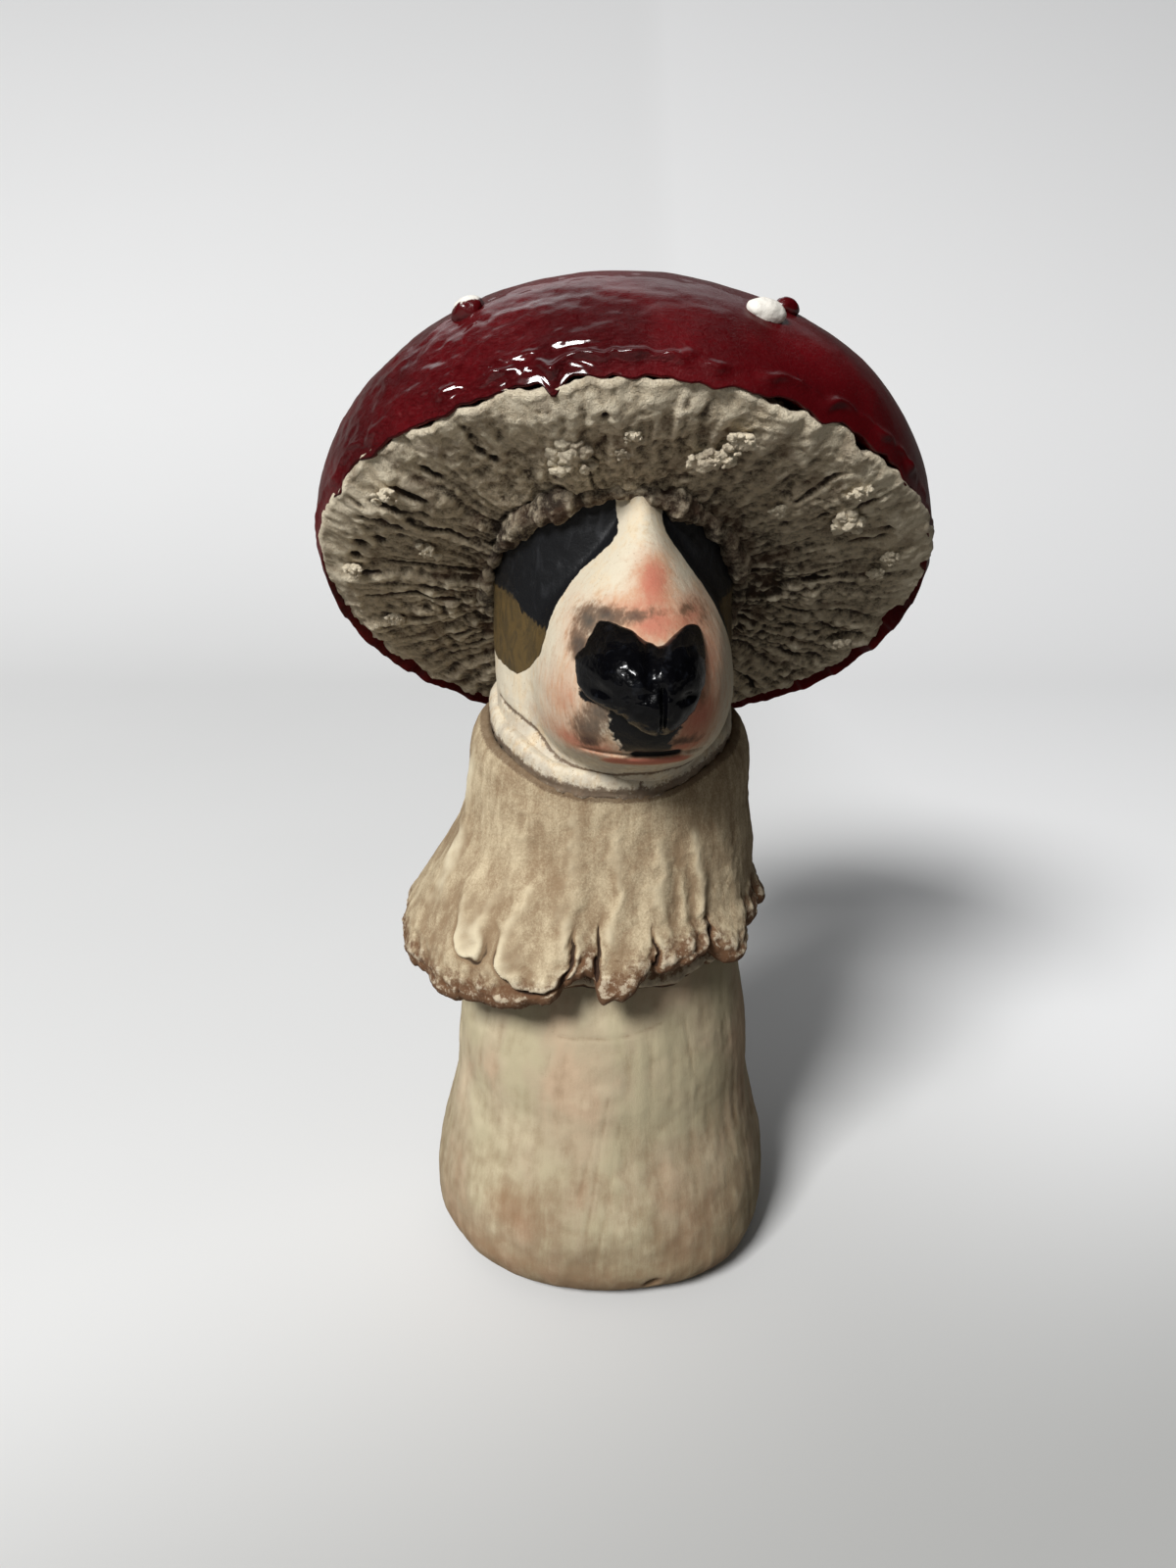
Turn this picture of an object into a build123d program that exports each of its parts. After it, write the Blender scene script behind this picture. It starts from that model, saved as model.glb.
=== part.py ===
from build123d import *
from math import asin, atan2, cos, degrees, radians, sin
import os

# Hand-built ceramic mushroom ornament with a dog's muzzle looking out from under its tilted cap.
# Lengths are in millimetres and angles in degrees. Z is up, the muzzle looks along -Y, and the origin is
# the centre of the foot's flat underside. Everything above the foot leans a little to +X as one.

# Whole figure
lean_angle = 0.9
overrun = 5.0
quarter_turn = 90.0
half_turn = 2 * quarter_turn
full_turn = 4 * quarter_turn

# Foot and stem
foot_bulge_radius = 36.0
foot_heel_rounding = 10.0
foot_belly_height = 14.0
foot_slab_thickness = 6.0
waist_radius = 30.7
waist_height = 43.0
stem_top_radius = 23.4
stem_top_height = 100.0
stem_seat_length = 8.0
stem_seat_height = stem_top_height - stem_seat_length
stem_wall_thickness = 5.0
vent_radius = 2.5
vent_offset = 9.0

# Seam coil pressed into the corner between foot slab and stem wall
seam_coil_size = 4.0

# Skirt: a rolled collar that flares to a hem of fingers, with rises and drops counted from the stem's top
skirt_wall_thickness = 4.2
skirt_crest_rise = 15.0
skirt_crest_height = stem_top_height + skirt_crest_rise
skirt_crest_rounding = 3.6
skirt_crest_fall = 8.0
skirt_flare_drop = 3.0
skirt_flare_height = stem_top_height - skirt_flare_drop
skirt_hem_drop = 21.0
skirt_hem_height = stem_top_height - skirt_hem_drop
skirt_hem_spread = 10.8
skirt_hem_radius = stem_top_radius + skirt_hem_spread
skirt_hem_shift = 3.6
skirt_hem_thickness = 6.4
skirt_cap_clearance = 0.5
neckline_front_rise = 7.5
neckline_front_height = stem_top_height + neckline_front_rise
neckline_slope = 17.0

# Fingers of the skirt's hem: turn from the front towards +X, share of the tip radius, share of the fall
finger_top_radius = 2.2
finger_top_drop = 1.0
finger_top_height = stem_top_height - finger_top_drop
finger_tip_radius = 5.4
finger_tip_drop = 24.0
finger_tip_height = stem_top_height - finger_tip_drop
finger_proud = 1.4
finger_end_length = 4.6
finger_end_radius = 2.6
finger_places = (
    (6, 1.06, 1.0),
    (25, 1.0, 0.78),
    (44, 0.95, 0.86),
    (62, 0.85, 0.9),
    (80, 1.05, 1.04),
    (98, 0.9, 0.95),
    (116, 1.0, 1.05),
    (134, 0.95, 0.9),
    (152, 1.05, 1.0),
    (170, 0.9, 0.88),
    (188, 1.0, 1.02),
    (206, 1.05, 0.94),
    (224, 0.9, 1.0),
    (242, 1.0, 1.08),
    (260, 1.05, 1.0),
    (279, 1.1, 1.14),
    (299, 1.05, 1.06),
    (319, 0.8, 0.84),
    (337, 1.1, 0.97),
    (353, 0.72, 0.92),
)

# Underlayer that shows below and between the fingers
underlayer_hem_drop = 31.4
underlayer_hem_height = stem_top_height - underlayer_hem_drop
underlayer_hem_tilt = 3.0
underlayer_scallop_radius = 5.0
underlayer_scallop_depth = 1.6
underlayer_scallop_count = 11
underlayer_clearance = 0.1

# Head tube and the bands round it
head_radius = 22.0
head_wall_thickness = 6.0
neck_band_height = 11.5
neck_band_rounding = 1.0
packing_width = 3.6
packing_depth = 3.2

# Muzzle: level sections from the chin up to the bridge
muzzle_base_rise = 11.0
muzzle_base_height = stem_top_height + muzzle_base_rise
muzzle_rise = 49.0
muzzle_half_width = 18.0
muzzle_root = 15.0
muzzle_reach = 32.0
muzzle_shift = 2.2
muzzle_turn = 4.0
muzzle_section_shares = (
    (0.0, 0.58, 0.46),
    (0.08, 0.74, 0.64),
    (0.18, 0.89, 0.83),
    (0.31, 0.98, 0.96),
    (0.47, 0.94, 1.0),
    (0.64, 0.76, 0.84),
    (0.82, 0.43, 0.52),
    (1.0, 0.20, 0.26),
)
mouth_rise = 7.6
mouth_height = muzzle_base_height + mouth_rise
mouth_slope = 6.0
mouth_gap = 0.8
mouth_half_width = 7.5
mouth_depth = 3.0
mouth_reach_share = 0.83

# Nose pad
nose_centre_rise = 22.5
nose_centre_height = muzzle_base_height + nose_centre_rise
nose_half_width = 9.9
nose_half_height = 9.9
nose_bulge_depth = 13.0
nose_proud = 3.4
nose_shift = -1.5
nostril_radius = 1.5
nostril_depth = 2.2
nostril_spacing = 4.6
nostril_drop = 1.2
philtrum_width = 0.9
philtrum_length = 7.0
philtrum_depth = 1.2
nose_outline_shares = ((0.0, 0.52), (0.55, 0.86), (0.98, 0.30), (0.70, -0.45), (0.0, -1.0))

# Cap: a dome of two arcs round a gill plate, tilted back
head_length = 39.5
cap_height = stem_top_height + head_length
cap_tilt = 42.9
cap_shift = 1.8
cap_radius = 57.5
cap_rise = 39.5
cap_belly_height = 10.0
cap_side_radius = 27.0
cap_wall_thickness = 6.0
cap_cavity_steps = 4
plate_recess = 0.8
plate_thickness = 5.0
rim_lip_width = 2.8
gas_hole_radius = 4.0
socket_coil_size = 3.5

# Gills: tapered ridges round the plate's underside
gill_count = 60
gill_height = 1.5
gill_width = 1.8
gill_taper_share = 0.45
gill_start_radius = 20.0
gill_rim_clearance = 0.6

# Warts pressed on the dome: name, azimuth and rise of the surface normal there, share of the wart radius
wart_radius = 2.9
wart_proud = 1.9
wart_bed_depth = 2.0
wart_sides = 7
wart_top_share = 0.62
wart_places = (
    ("wart_front_left", -118.5, 24.0, 0.62),
    ("wart_front_right", -69.0, 17.0, 1.0),
    ("wart_right_neighbour", -62.0, 33.0, 0.75),
    ("wart_left_flank", -178.0, 34.0, 1.1),
    ("wart_right_flank", -8.0, 40.0, 1.0),
    ("wart_crown_left", -140.0, 62.0, 1.2),
    ("wart_crown_right", 18.0, 70.0, 1.0),
    ("wart_back_left", 128.0, 46.0, 1.05),
    ("wart_back_right", 62.0, 34.0, 1.2),
)

# Crumbs of clay stuck to the gills: azimuth, share of the way out over the plate, share of the crumb radius
crumb_radius = 3.0
crumb_proud = 2.6
crumb_sides = 6
crumb_top_share = 0.6
crumb_place_shares = (
    (-103.5, 0.77, 1.0),
    (-73.5, 0.79, 0.8),
    (-70.5, 0.92, 0.6),
    (-34.0, 0.85, 0.95),
    (-158.0, 0.72, 0.8),
    (-140.0, 0.90, 0.6),
    (-12.0, 0.88, 0.7),
    (-48.0, 0.70, 0.6),
    (168.0, 0.85, 0.7),
    (20.0, 0.90, 0.6),
)


def half_space_above(height):
    """Block that fills everything above a level."""
    width = 2 * (cap_radius + cap_height)
    return Pos(0, 0, height + width / 2) * Box(width, width, width)


def half_space_below(height):
    """Block that fills everything below a level."""
    return Pos(0, 0, height) * Rot(half_turn, 0, 0) * half_space_above(0)


def turned(*edges):
    """Solid turned about Z from the closed half outline that the edges draw in the XZ plane."""
    return revolve(make_face(Plane.XZ * Curve(edges)), Axis.Z)


def turned_outline(*points):
    """Solid turned about Z from a straight-sided half outline."""
    return revolve(make_face(Plane.XZ * Polyline(*points, close=True)), Axis.Z)


def leaning(shape):
    """The shape set on the figure's leaning axis."""
    return Rot(0, lean_angle, 0) * shape


def on_cap(shape):
    """The shape set in the tilted frame of the cap, whose zero level is the rim."""
    return Pos(cap_shift, 0, cap_height) * Rot(-cap_tilt, 0, 0) * shape


def on_muzzle(shape):
    """The shape set in the frame of the muzzle, which is shifted and turned a little to +X."""
    return Pos(muzzle_shift, 0, 0) * Rot(0, 0, muzzle_turn) * shape


# Forms that several pieces share

def s_curve(low, high):
    """Two equal arcs from low to high, both ends upright."""
    middle = ((low[0] + high[0]) / 2, (low[1] + high[1]) / 2)
    return TangentArc(low, middle, tangent=(0, 1)), TangentArc(high, middle, tangent=(0, -1))


def stem_form():
    """Outer form of foot and stem: round heel, bulge, waist and a straight seat for the skirt."""
    contact_radius = foot_bulge_radius - foot_heel_rounding
    heel_top = (foot_bulge_radius, foot_heel_rounding)
    bulge = (foot_bulge_radius, foot_belly_height)
    waist = (waist_radius, waist_height)
    seat = (stem_top_radius, stem_seat_height)
    below = Polyline((0, -overrun), (contact_radius, -overrun), (contact_radius, 0))
    heel = CenterArc((contact_radius, foot_heel_rounding), foot_heel_rounding, -quarter_turn, quarter_turn)
    side = Line(heel_top, bulge)
    top = Polyline(seat, (stem_top_radius, stem_top_height), (0, stem_top_height), (0, -overrun))
    return turned(below, heel, side, *s_curve(bulge, waist), *s_curve(waist, seat), top)


def stem_hollow():
    """Space inside the stem, a straight-sided taper from the foot slab up."""
    bulge = foot_bulge_radius - stem_wall_thickness
    waist = waist_radius - stem_wall_thickness
    top = stem_top_radius - stem_wall_thickness
    return turned_outline(
        (0, foot_slab_thickness),
        (bulge, foot_slab_thickness),
        (bulge, foot_belly_height),
        (waist, waist_height),
        (top, stem_seat_height),
        (top, stem_top_height + overrun),
        (0, stem_top_height + overrun),
    )


def on_neckline(shape):
    """The shape set on the neckline, a plane that rises from the front of the collar towards the back."""
    return Pos(0, -stem_top_radius, neckline_front_height) * Rot(neckline_slope, 0, 0) * shape


def skirt_side():
    """Space outside the stem's seat and below the neckline, which the skirt fills."""
    return on_neckline(half_space_below(0)) - Cylinder(stem_top_radius, 2 * (cap_height + cap_radius))


def flare_circle(top_radius, top_height, hem_radius, height):
    """Radius at a level of the oblique cone down to the hem, and its centre's shift to -X there."""
    growth = (top_height - height) / (top_height - skirt_hem_height)
    return top_radius + (hem_radius - top_radius) * growth, skirt_hem_shift * growth


def flare(top_radius, top_height, hem_radius, low):
    """Oblique cone from a circle on the axis down to a level at or below the hem."""
    low_radius, shift = flare_circle(top_radius, top_height, hem_radius, low)
    top = Pos(0, 0, top_height) * Circle(top_radius)
    bottom = Pos(-shift, 0, low) * Circle(low_radius)
    return loft([bottom, top], ruled=True)


def skirt_hollow(inset):
    """Space inside the skirt: a straight bore on the stem's seat, then a flare run on below the hem."""
    low = underlayer_hem_height - overrun
    hem = skirt_hem_radius - skirt_hem_thickness - inset
    cone = flare(stem_top_radius - inset, stem_seat_height, hem, low)
    height = skirt_crest_height + overrun - stem_seat_height
    return cone + Pos(0, 0, stem_seat_height + height / 2) * Cylinder(stem_top_radius, height)


def below_plate():
    """Everything below the gill plate's underside."""
    return on_cap(half_space_below(plate_recess))


def head_column(radius):
    """Round column on the leaning axis from the stem's top to the gill plate's underside."""
    height = cap_height + cap_radius - stem_top_height
    return (Pos(0, 0, stem_top_height + height / 2) * Cylinder(radius, height)) & below_plate()


def muzzle_form():
    """Muzzle lofted through level ellipses, deep enough to run into the head."""
    sections = []
    for rise_share, width_share, reach_share in muzzle_section_shares:
        height = muzzle_base_height + rise_share * muzzle_rise
        ellipse = Ellipse(width_share * muzzle_half_width, reach_share * muzzle_reach)
        sections.append(Pos(0, -muzzle_root, height) * ellipse)
    return on_muzzle(loft(sections)) & below_plate()


def crown_arc():
    """Crown arc: its centre's drop below the belly, its radius, and its angle where the side arc begins."""
    across = cap_radius - cap_side_radius
    up = cap_rise - cap_side_radius
    drop = (across**2 - up**2) / (2 * up)
    return drop, cap_rise + drop, degrees(atan2(drop, across))


def rim_radius():
    """Radius of the dome's outer edge at the rim."""
    return cap_radius - cap_side_radius + (cap_side_radius**2 - cap_belly_height**2) ** 0.5


def plate_radius():
    """Radius of the gill plate, inside the rim's lip."""
    return rim_radius() - rim_lip_width


def dome_form():
    """Outer form of the cap: a crown arc running into a side arc that turns under to the rim."""
    drop, crown_radius, meeting = crown_arc()
    under = degrees(asin(cap_belly_height / cap_side_radius))
    side_centre = (cap_radius - cap_side_radius, cap_belly_height)
    side = CenterArc(side_centre, cap_side_radius, -under, under + meeting)
    crown = CenterArc((0, cap_belly_height - drop), crown_radius, meeting, quarter_turn - meeting)
    close = Polyline((0, cap_belly_height + cap_rise), (0, 0), (rim_radius(), 0))
    return turned(side, crown, close)


# Pieces of the stem

def make_foot_slab():
    """Slab that closes the foot, with the vent that a fired hollow form needs."""
    below = leaning(stem_form()) & half_space_above(0) & half_space_below(foot_slab_thickness)
    vent = Pos(0, vent_offset, 0) * Cylinder(vent_radius, 2 * (foot_slab_thickness + overrun))
    return below - vent


def make_stem_wall():
    """Hollow stem, standing on the foot slab."""
    return (leaning(stem_form()) & half_space_above(foot_slab_thickness)) - leaning(stem_hollow())


def make_foot_seam_coil():
    """Coil pressed into the corner inside the foot."""
    outer = foot_bulge_radius - stem_wall_thickness
    coil = turned_outline(
        (outer - seam_coil_size, foot_slab_thickness - overrun),
        (outer + overrun, foot_slab_thickness - overrun),
        (outer + overrun, foot_slab_thickness + seam_coil_size),
        (outer, foot_slab_thickness + seam_coil_size),
        (outer - seam_coil_size, foot_slab_thickness),
    )
    return leaning(coil & stem_hollow()) & half_space_above(foot_slab_thickness)


# Pieces of the skirt

def skirt_core():
    """Rolled collar and flare without the fingers."""
    collar = stem_top_radius + skirt_wall_thickness
    crest_inner = collar - skirt_crest_rounding
    shoulder = skirt_crest_height - skirt_crest_fall
    top = Polyline((0, skirt_flare_height), (0, skirt_crest_height), (crest_inner, skirt_crest_height))
    centre = (crest_inner, shoulder)
    crest = EllipticalCenterArc(centre, skirt_crest_rounding, skirt_crest_fall, 0, arc_size=quarter_turn)
    side = Polyline((collar, shoulder), (collar, skirt_flare_height), (0, skirt_flare_height))
    return turned(top, crest, side) + flare(collar, skirt_flare_height, skirt_hem_radius, skirt_hem_height)


def hem_finger(turn, width_share, fall_share):
    """One finger: a long cone down the flare that ends in a blunt tip."""
    tip_radius = finger_tip_radius * width_share
    mid_radius = (tip_radius + finger_end_radius * width_share) / 2
    collar = stem_top_radius + skirt_wall_thickness
    top_out = collar - finger_top_radius
    flank, shift = flare_circle(collar, skirt_flare_height, skirt_hem_radius, finger_tip_height)
    tip_out = flank - shift * sin(radians(turn)) + finger_proud - tip_radius
    fall = (finger_top_height - finger_tip_height) * fall_share
    slope = Line((tip_out, finger_top_height - fall), (top_out, finger_top_height))
    finger = turned_outline(
        (0, slope.length),
        (finger_top_radius, slope.length),
        (tip_radius, 0),
        (mid_radius, -finger_end_length / 2),
        (finger_end_radius * width_share, -finger_end_length),
        (0, -finger_end_length),
    )
    start = slope @ 0
    upward = slope % 0
    axis = Plane(origin=(start.X, 0, start.Y), x_dir=(0, 1, 0), z_dir=(upward.X, 0, upward.Y))
    return Rot(0, 0, turn - quarter_turn) * (axis * finger)


def make_skirt():
    """Skirt with its fingers, hollow inside, dipping at the front and ending below the cap at the back."""
    skirt = skirt_core()
    for turn, width_share, fall_share in finger_places:
        skirt += hem_finger(turn, width_share, fall_share)
    skirt -= on_neckline(half_space_above(0))
    skirt -= on_cap(half_space_above(plate_recess - packing_depth - skirt_cap_clearance))
    return leaning(skirt - (skirt_hollow(0) + stem_form()))


def make_skirt_underlayer():
    """Ring of clay between stem and skirt, its torn edge showing below the fingers."""
    layer = skirt_hollow(underlayer_clearance) - half_space_above(stem_seat_height)
    layer &= Pos(0, 0, underlayer_hem_height) * Rot(0, -underlayer_hem_tilt, 0) * half_space_above(0)
    reach = 2 * skirt_hem_radius
    bite = Cylinder(underlayer_scallop_radius, reach, rotation=(0, quarter_turn, 0))
    drop = underlayer_hem_height - underlayer_scallop_radius + underlayer_scallop_depth
    for number in range(underlayer_scallop_count):
        layer -= Rot(0, 0, full_turn * number / underlayer_scallop_count) * Pos(reach / 2, 0, drop) * bite
    return leaning(layer - stem_form())


# Pieces of the head

def make_head_tube():
    """Tube that stands on the stem and carries the cap."""
    return leaning(head_column(head_radius) - head_column(head_radius - head_wall_thickness))


def make_neck_band():
    """Coil that fills the seam between head and skirt."""
    top = stem_top_height + neck_band_height
    band = turned_outline(
        (head_radius, stem_top_height),
        (stem_top_radius, stem_top_height),
        (stem_top_radius, top - neck_band_rounding),
        (stem_top_radius - neck_band_rounding / 2, top),
        (head_radius, top),
    )
    return leaning(band - jaw_form())


def above_mouth():
    """Everything above the mouth, which rises a little towards the front."""
    return Pos(0, -muzzle_root, mouth_height) * Rot(-mouth_slope, 0, 0) * half_space_above(0)


def jaw_form():
    """Lower part of the muzzle form, below the sloping mouth."""
    return muzzle_form() - above_mouth()


def mouth_slot():
    """Thin slot that keeps the lips apart at the front and stops inside them."""
    front = muzzle_root + muzzle_reach * mouth_reach_share - mouth_depth
    slot = Box(2 * mouth_half_width, muzzle_reach, mouth_gap)
    place = Pos(0, -muzzle_root, mouth_height) * Rot(-mouth_slope, 0, 0) * Pos(0, muzzle_root - front, 0)
    return on_muzzle(place * Pos(0, -muzzle_reach / 2, 0) * slot)


def make_muzzle():
    """Muzzle pressed on to the head, down to the mouth."""
    upper = muzzle_form() & above_mouth()
    return leaning(upper - head_column(head_radius) - mouth_slot())


def make_lower_jaw():
    """Chin under the mouth, pressed on to the head above the neck."""
    return leaning(jaw_form() - head_column(head_radius) - mouth_slot() - skirt_side())


def nose_outline():
    """Heart-shaped outline of the nose pad, the same on both sides."""
    points = [(across * nose_half_width, up * nose_half_height) for across, up in nose_outline_shares]
    right = Spline(*points)
    return make_face(Curve([right, mirror(right, Plane.YZ)]))


def nose_bulge(inset):
    """Flattened ball that rounds the nose pad, drawn in by an inset."""
    across = nose_half_width + nose_proud - inset
    up = nose_half_height + nose_proud - inset
    return scale(Sphere(1), by=(across, nose_bulge_depth - inset, up))


def make_nose():
    """Nose pad: a heart-shaped bulge on the muzzle with nostrils and a groove below them."""
    front = muzzle_root + muzzle_reach + nose_proud
    pad = nose_bulge(0) & extrude(Plane.XZ * nose_outline(), nose_bulge_depth)
    for side in (-1, 1):
        place = Pos(side * nostril_spacing, -nose_bulge_depth, -nostril_drop)
        pad -= place * Cylinder(nostril_radius, 2 * nostril_depth, rotation=(quarter_turn, 0, 0))
    groove_place = Pos(0, -nose_bulge_depth, -nose_half_height + philtrum_length / 2)
    pad -= groove_place * Box(philtrum_width, nose_bulge_depth, philtrum_length) - nose_bulge(philtrum_depth)
    placed = Pos(nose_shift, -front + nose_bulge_depth, nose_centre_height) * pad
    return leaning(on_muzzle(placed) - muzzle_form())


# Pieces of the cap

def dome_cavity():
    """Space inside the dome: a straight seat for the plate, then straight steps up an inner ellipse."""
    seat = plate_radius()
    inner_rise = cap_rise - cap_wall_thickness
    points = [(0, -overrun), (seat, -overrun)]
    for step in range(cap_cavity_steps + 1):
        angle = radians(quarter_turn * step / cap_cavity_steps)
        points.append((seat * cos(angle), cap_belly_height + inner_rise * sin(angle)))
    return turned_outline(*points)


def make_cap_dome():
    """Hollow dome of the cap, with an even lip round its rim."""
    return leaning(on_cap(dome_form() - dome_cavity()))


def gill(radius):
    """One gill: a ridge of triangular section that grows towards the rim."""
    sections = []
    for distance, size_share in ((gill_start_radius, gill_taper_share), (radius - gill_rim_clearance, 1)):
        width = gill_width * size_share
        height = gill_height * size_share
        ridge = Polyline((-width / 2, 0), (width / 2, 0), (0, height), close=True)
        place = Plane(origin=(distance, 0, plate_recess), x_dir=(0, 1, 0), z_dir=(1, 0, 0))
        sections.append(make_face(place * Rot(half_turn, 0, 0) * ridge))
    return loft(sections, ruled=True)


def make_gill_plate():
    """Gill plate in the dome's rim, with its gills, open to the head's hollow through a hole."""
    radius = plate_radius()
    disc = Pos(0, 0, plate_recess + plate_thickness / 2) * Cylinder(radius, plate_thickness)
    disc -= Cylinder(gas_hole_radius, 2 * (plate_recess + plate_thickness + overrun))
    blade = gill(radius)
    gills = [Rot(0, 0, full_turn * number / gill_count) * blade for number in range(gill_count)]
    plate = on_cap(disc + gills)
    return leaning(plate - head_column(head_radius + packing_width))


def make_joint_packing():
    """Clay packed into the corner between head and gills."""
    ring = head_column(head_radius + packing_width) - head_column(head_radius)
    ring &= on_cap(half_space_above(plate_recess - packing_depth))
    return leaning(ring - muzzle_form())


def make_socket_coil():
    """Coil inside the dome that ties the plate's upper face to the dome wall."""
    seat = plate_radius()
    floor = plate_recess + plate_thickness
    coil = turned_outline(
        (seat - socket_coil_size, floor),
        (seat, floor),
        (seat, floor + socket_coil_size),
    )
    return leaning(on_cap(coil & dome_cavity()))


def on_dome(azimuth, normal_rise):
    """Place on the dome's surface, with Z along the surface normal."""
    drop, crown_radius, meeting = crown_arc()
    up = radians(normal_rise)
    out = cap_radius - cap_side_radius + cap_side_radius * cos(up)
    height = cap_belly_height + cap_side_radius * sin(up)
    if normal_rise > meeting:
        out = crown_radius * cos(up)
        height = cap_belly_height - drop + crown_radius * sin(up)
    return Rot(0, 0, azimuth) * Pos(out, 0, height) * Rot(0, quarter_turn - normal_rise, 0)


def pellet(radius, sides, bed_depth, proud, top_share):
    """Faceted pellet of clay: widest where it lies, narrower at its top and sunk into its bed."""
    bed = Pos(0, 0, -bed_depth) * RegularPolygon(radius, sides)
    shoulder = Pos(0, 0, proud / 2) * Rot(0, 0, half_turn / sides) * RegularPolygon(radius, sides)
    top = Pos(0, 0, proud) * RegularPolygon(radius * top_share, sides)
    return loft([bed, shoulder, top], ruled=True)


def make_wart(azimuth, normal_rise, size_share):
    """Wart pressed on the dome."""
    radius = wart_radius * size_share
    form = pellet(radius, wart_sides, wart_bed_depth, wart_proud * size_share, wart_top_share)
    return leaning(on_cap(on_dome(azimuth, normal_rise) * form - dome_form()))


def make_gill_crumbs():
    """Crumbs of clay that sit on the gill plate, one solid each."""
    radius = plate_radius()
    crumbs = []
    plate = make_gill_plate()
    for azimuth, out_share, size_share in crumb_place_shares:
        form = pellet(crumb_radius * size_share, crumb_sides, gill_height, crumb_proud, crumb_top_share)
        place = Rot(0, 0, azimuth) * Pos(radius * out_share, 0, plate_recess) * Rot(half_turn, 0, 0)
        crumbs += (leaning(on_cap(place * form)) - plate).solids().sort_by(SortBy.VOLUME)[-1:]
    return Compound(crumbs)


nodes = {
    "foot_slab": make_foot_slab(),
    "foot_seam_coil": make_foot_seam_coil(),
    "stem_wall": make_stem_wall(),
    "skirt": make_skirt(),
    "skirt_underlayer": make_skirt_underlayer(),
    "neck_band": make_neck_band(),
    "head_tube": make_head_tube(),
    "muzzle": make_muzzle(),
    "lower_jaw": make_lower_jaw(),
    "nose": make_nose(),
    "joint_packing": make_joint_packing(),
    "gill_plate": make_gill_plate(),
    "socket_coil": make_socket_coil(),
    "cap_dome": make_cap_dome(),
    "gill_crumbs": make_gill_crumbs(),
}
for wart_name, azimuth, normal_rise, size_share in wart_places:
    nodes[wart_name] = make_wart(azimuth, normal_rise, size_share)

os.makedirs("parts", exist_ok=True)
for name, shape in nodes.items():
    export_step(shape, f"parts/{name}.step")
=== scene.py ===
"""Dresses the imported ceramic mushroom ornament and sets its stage.

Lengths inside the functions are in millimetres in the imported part's own frame: Z is up and the muzzle
looks along -Y. Each mesh is scaled to metres when it is made.
"""

from math import radians
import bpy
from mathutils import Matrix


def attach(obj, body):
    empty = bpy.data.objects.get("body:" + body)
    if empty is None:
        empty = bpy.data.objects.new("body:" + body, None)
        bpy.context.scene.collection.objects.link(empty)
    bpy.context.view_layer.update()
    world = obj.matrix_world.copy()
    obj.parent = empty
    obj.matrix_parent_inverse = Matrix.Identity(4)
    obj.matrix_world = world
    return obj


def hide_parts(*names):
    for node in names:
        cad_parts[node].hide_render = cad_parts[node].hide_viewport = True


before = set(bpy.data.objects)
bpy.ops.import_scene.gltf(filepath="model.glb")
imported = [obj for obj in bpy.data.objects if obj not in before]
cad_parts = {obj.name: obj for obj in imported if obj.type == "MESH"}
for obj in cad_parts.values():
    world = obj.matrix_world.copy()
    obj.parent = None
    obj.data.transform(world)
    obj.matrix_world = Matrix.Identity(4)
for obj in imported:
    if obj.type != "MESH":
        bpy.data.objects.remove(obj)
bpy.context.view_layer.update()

from types import SimpleNamespace

import bpy
import numpy as np

bl_info = {
    "name": "Ceramic Mushroom Dresser",
    "version": (1, 0, 0),
    "blender": (4, 5, 0),
    "location": "3D View > Sidebar > Mushroom",
    "description": "Builds the modelled and painted surfaces of a hand-built ceramic mushroom with a dog's muzzle",
    "category": "Object",
}

MM = 0.001


def paint(red, green, blue):
    """Linear colour of a display colour given from 0 to 255: c/12.92 below 0.04045, else ((c+0.055)/1.055)^2.4."""
    shares = np.array((red, green, blue)) / 255
    linear = np.where(shares < 0.04045, shares / 12.92, ((shares + 0.055) / 1.055) ** 2.4)
    return tuple(float(value) for value in linear)


# Settings


def length(name, description, millimetres):
    """Length property whose default is given in millimetres."""
    return bpy.props.FloatProperty(name=name, description=description, default=millimetres * MM, unit="LENGTH")


def turn(name, description, degrees):
    """Angle property whose default is given in degrees."""
    return bpy.props.FloatProperty(name=name, description=description, default=radians(degrees), unit="ROTATION")


def colour(name, description, red, green, blue):
    """Colour property whose default is given as a display colour from 0 to 255."""
    return bpy.props.FloatVectorProperty(
        name=name, description=description, default=paint(red, green, blue), subtype="COLOR", size=3, min=0, max=1
    )


class MushroomShape(bpy.types.PropertyGroup):
    """Sizes of the ornament's modelled surfaces."""

    lean: turn("Lean", "Lean of everything above the foot towards +X", 0.9)
    foot_radius: length("Foot radius", "Widest radius of the bulbous foot", 36.0)
    waist_radius: length("Waist radius", "Radius of the stem's waist", 30.7)
    waist_height: length("Waist height", "Height of the stem's waist", 43.0)
    seat_radius: length("Seat radius", "Radius of the stem inside the skirt", 23.4)
    hem_fall: length("Hem fall", "Mean height of the skirt's finger tips above the table", 74.0)
    head_radius: length("Head radius", "Radius of the head's column", 22.0)
    muzzle_half_width: length("Muzzle half width", "Half of the muzzle's widest section", 18.0)
    muzzle_reach: length("Muzzle reach", "Reach of the muzzle in front of its root", 32.0)
    rim_height: length("Rim height", "Height of the cap rim's centre", 139.5)
    rim_shift: length("Rim shift", "Shift of the cap rim's centre towards +X", 1.8)
    cap_tilt: turn("Cap tilt", "Backward tilt of the cap", 42.9)
    cap_radius: length("Cap radius", "Widest radius of the cap", 57.5)
    cap_rise: length("Cap rise", "Rise of the crown over the widest level", 39.5)
    cap_belly: length("Cap belly", "Height of the widest level over the rim", 10.0)
    cap_side: length("Cap side radius", "Radius of the arc that rounds the cap's side", 27.0)


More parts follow.
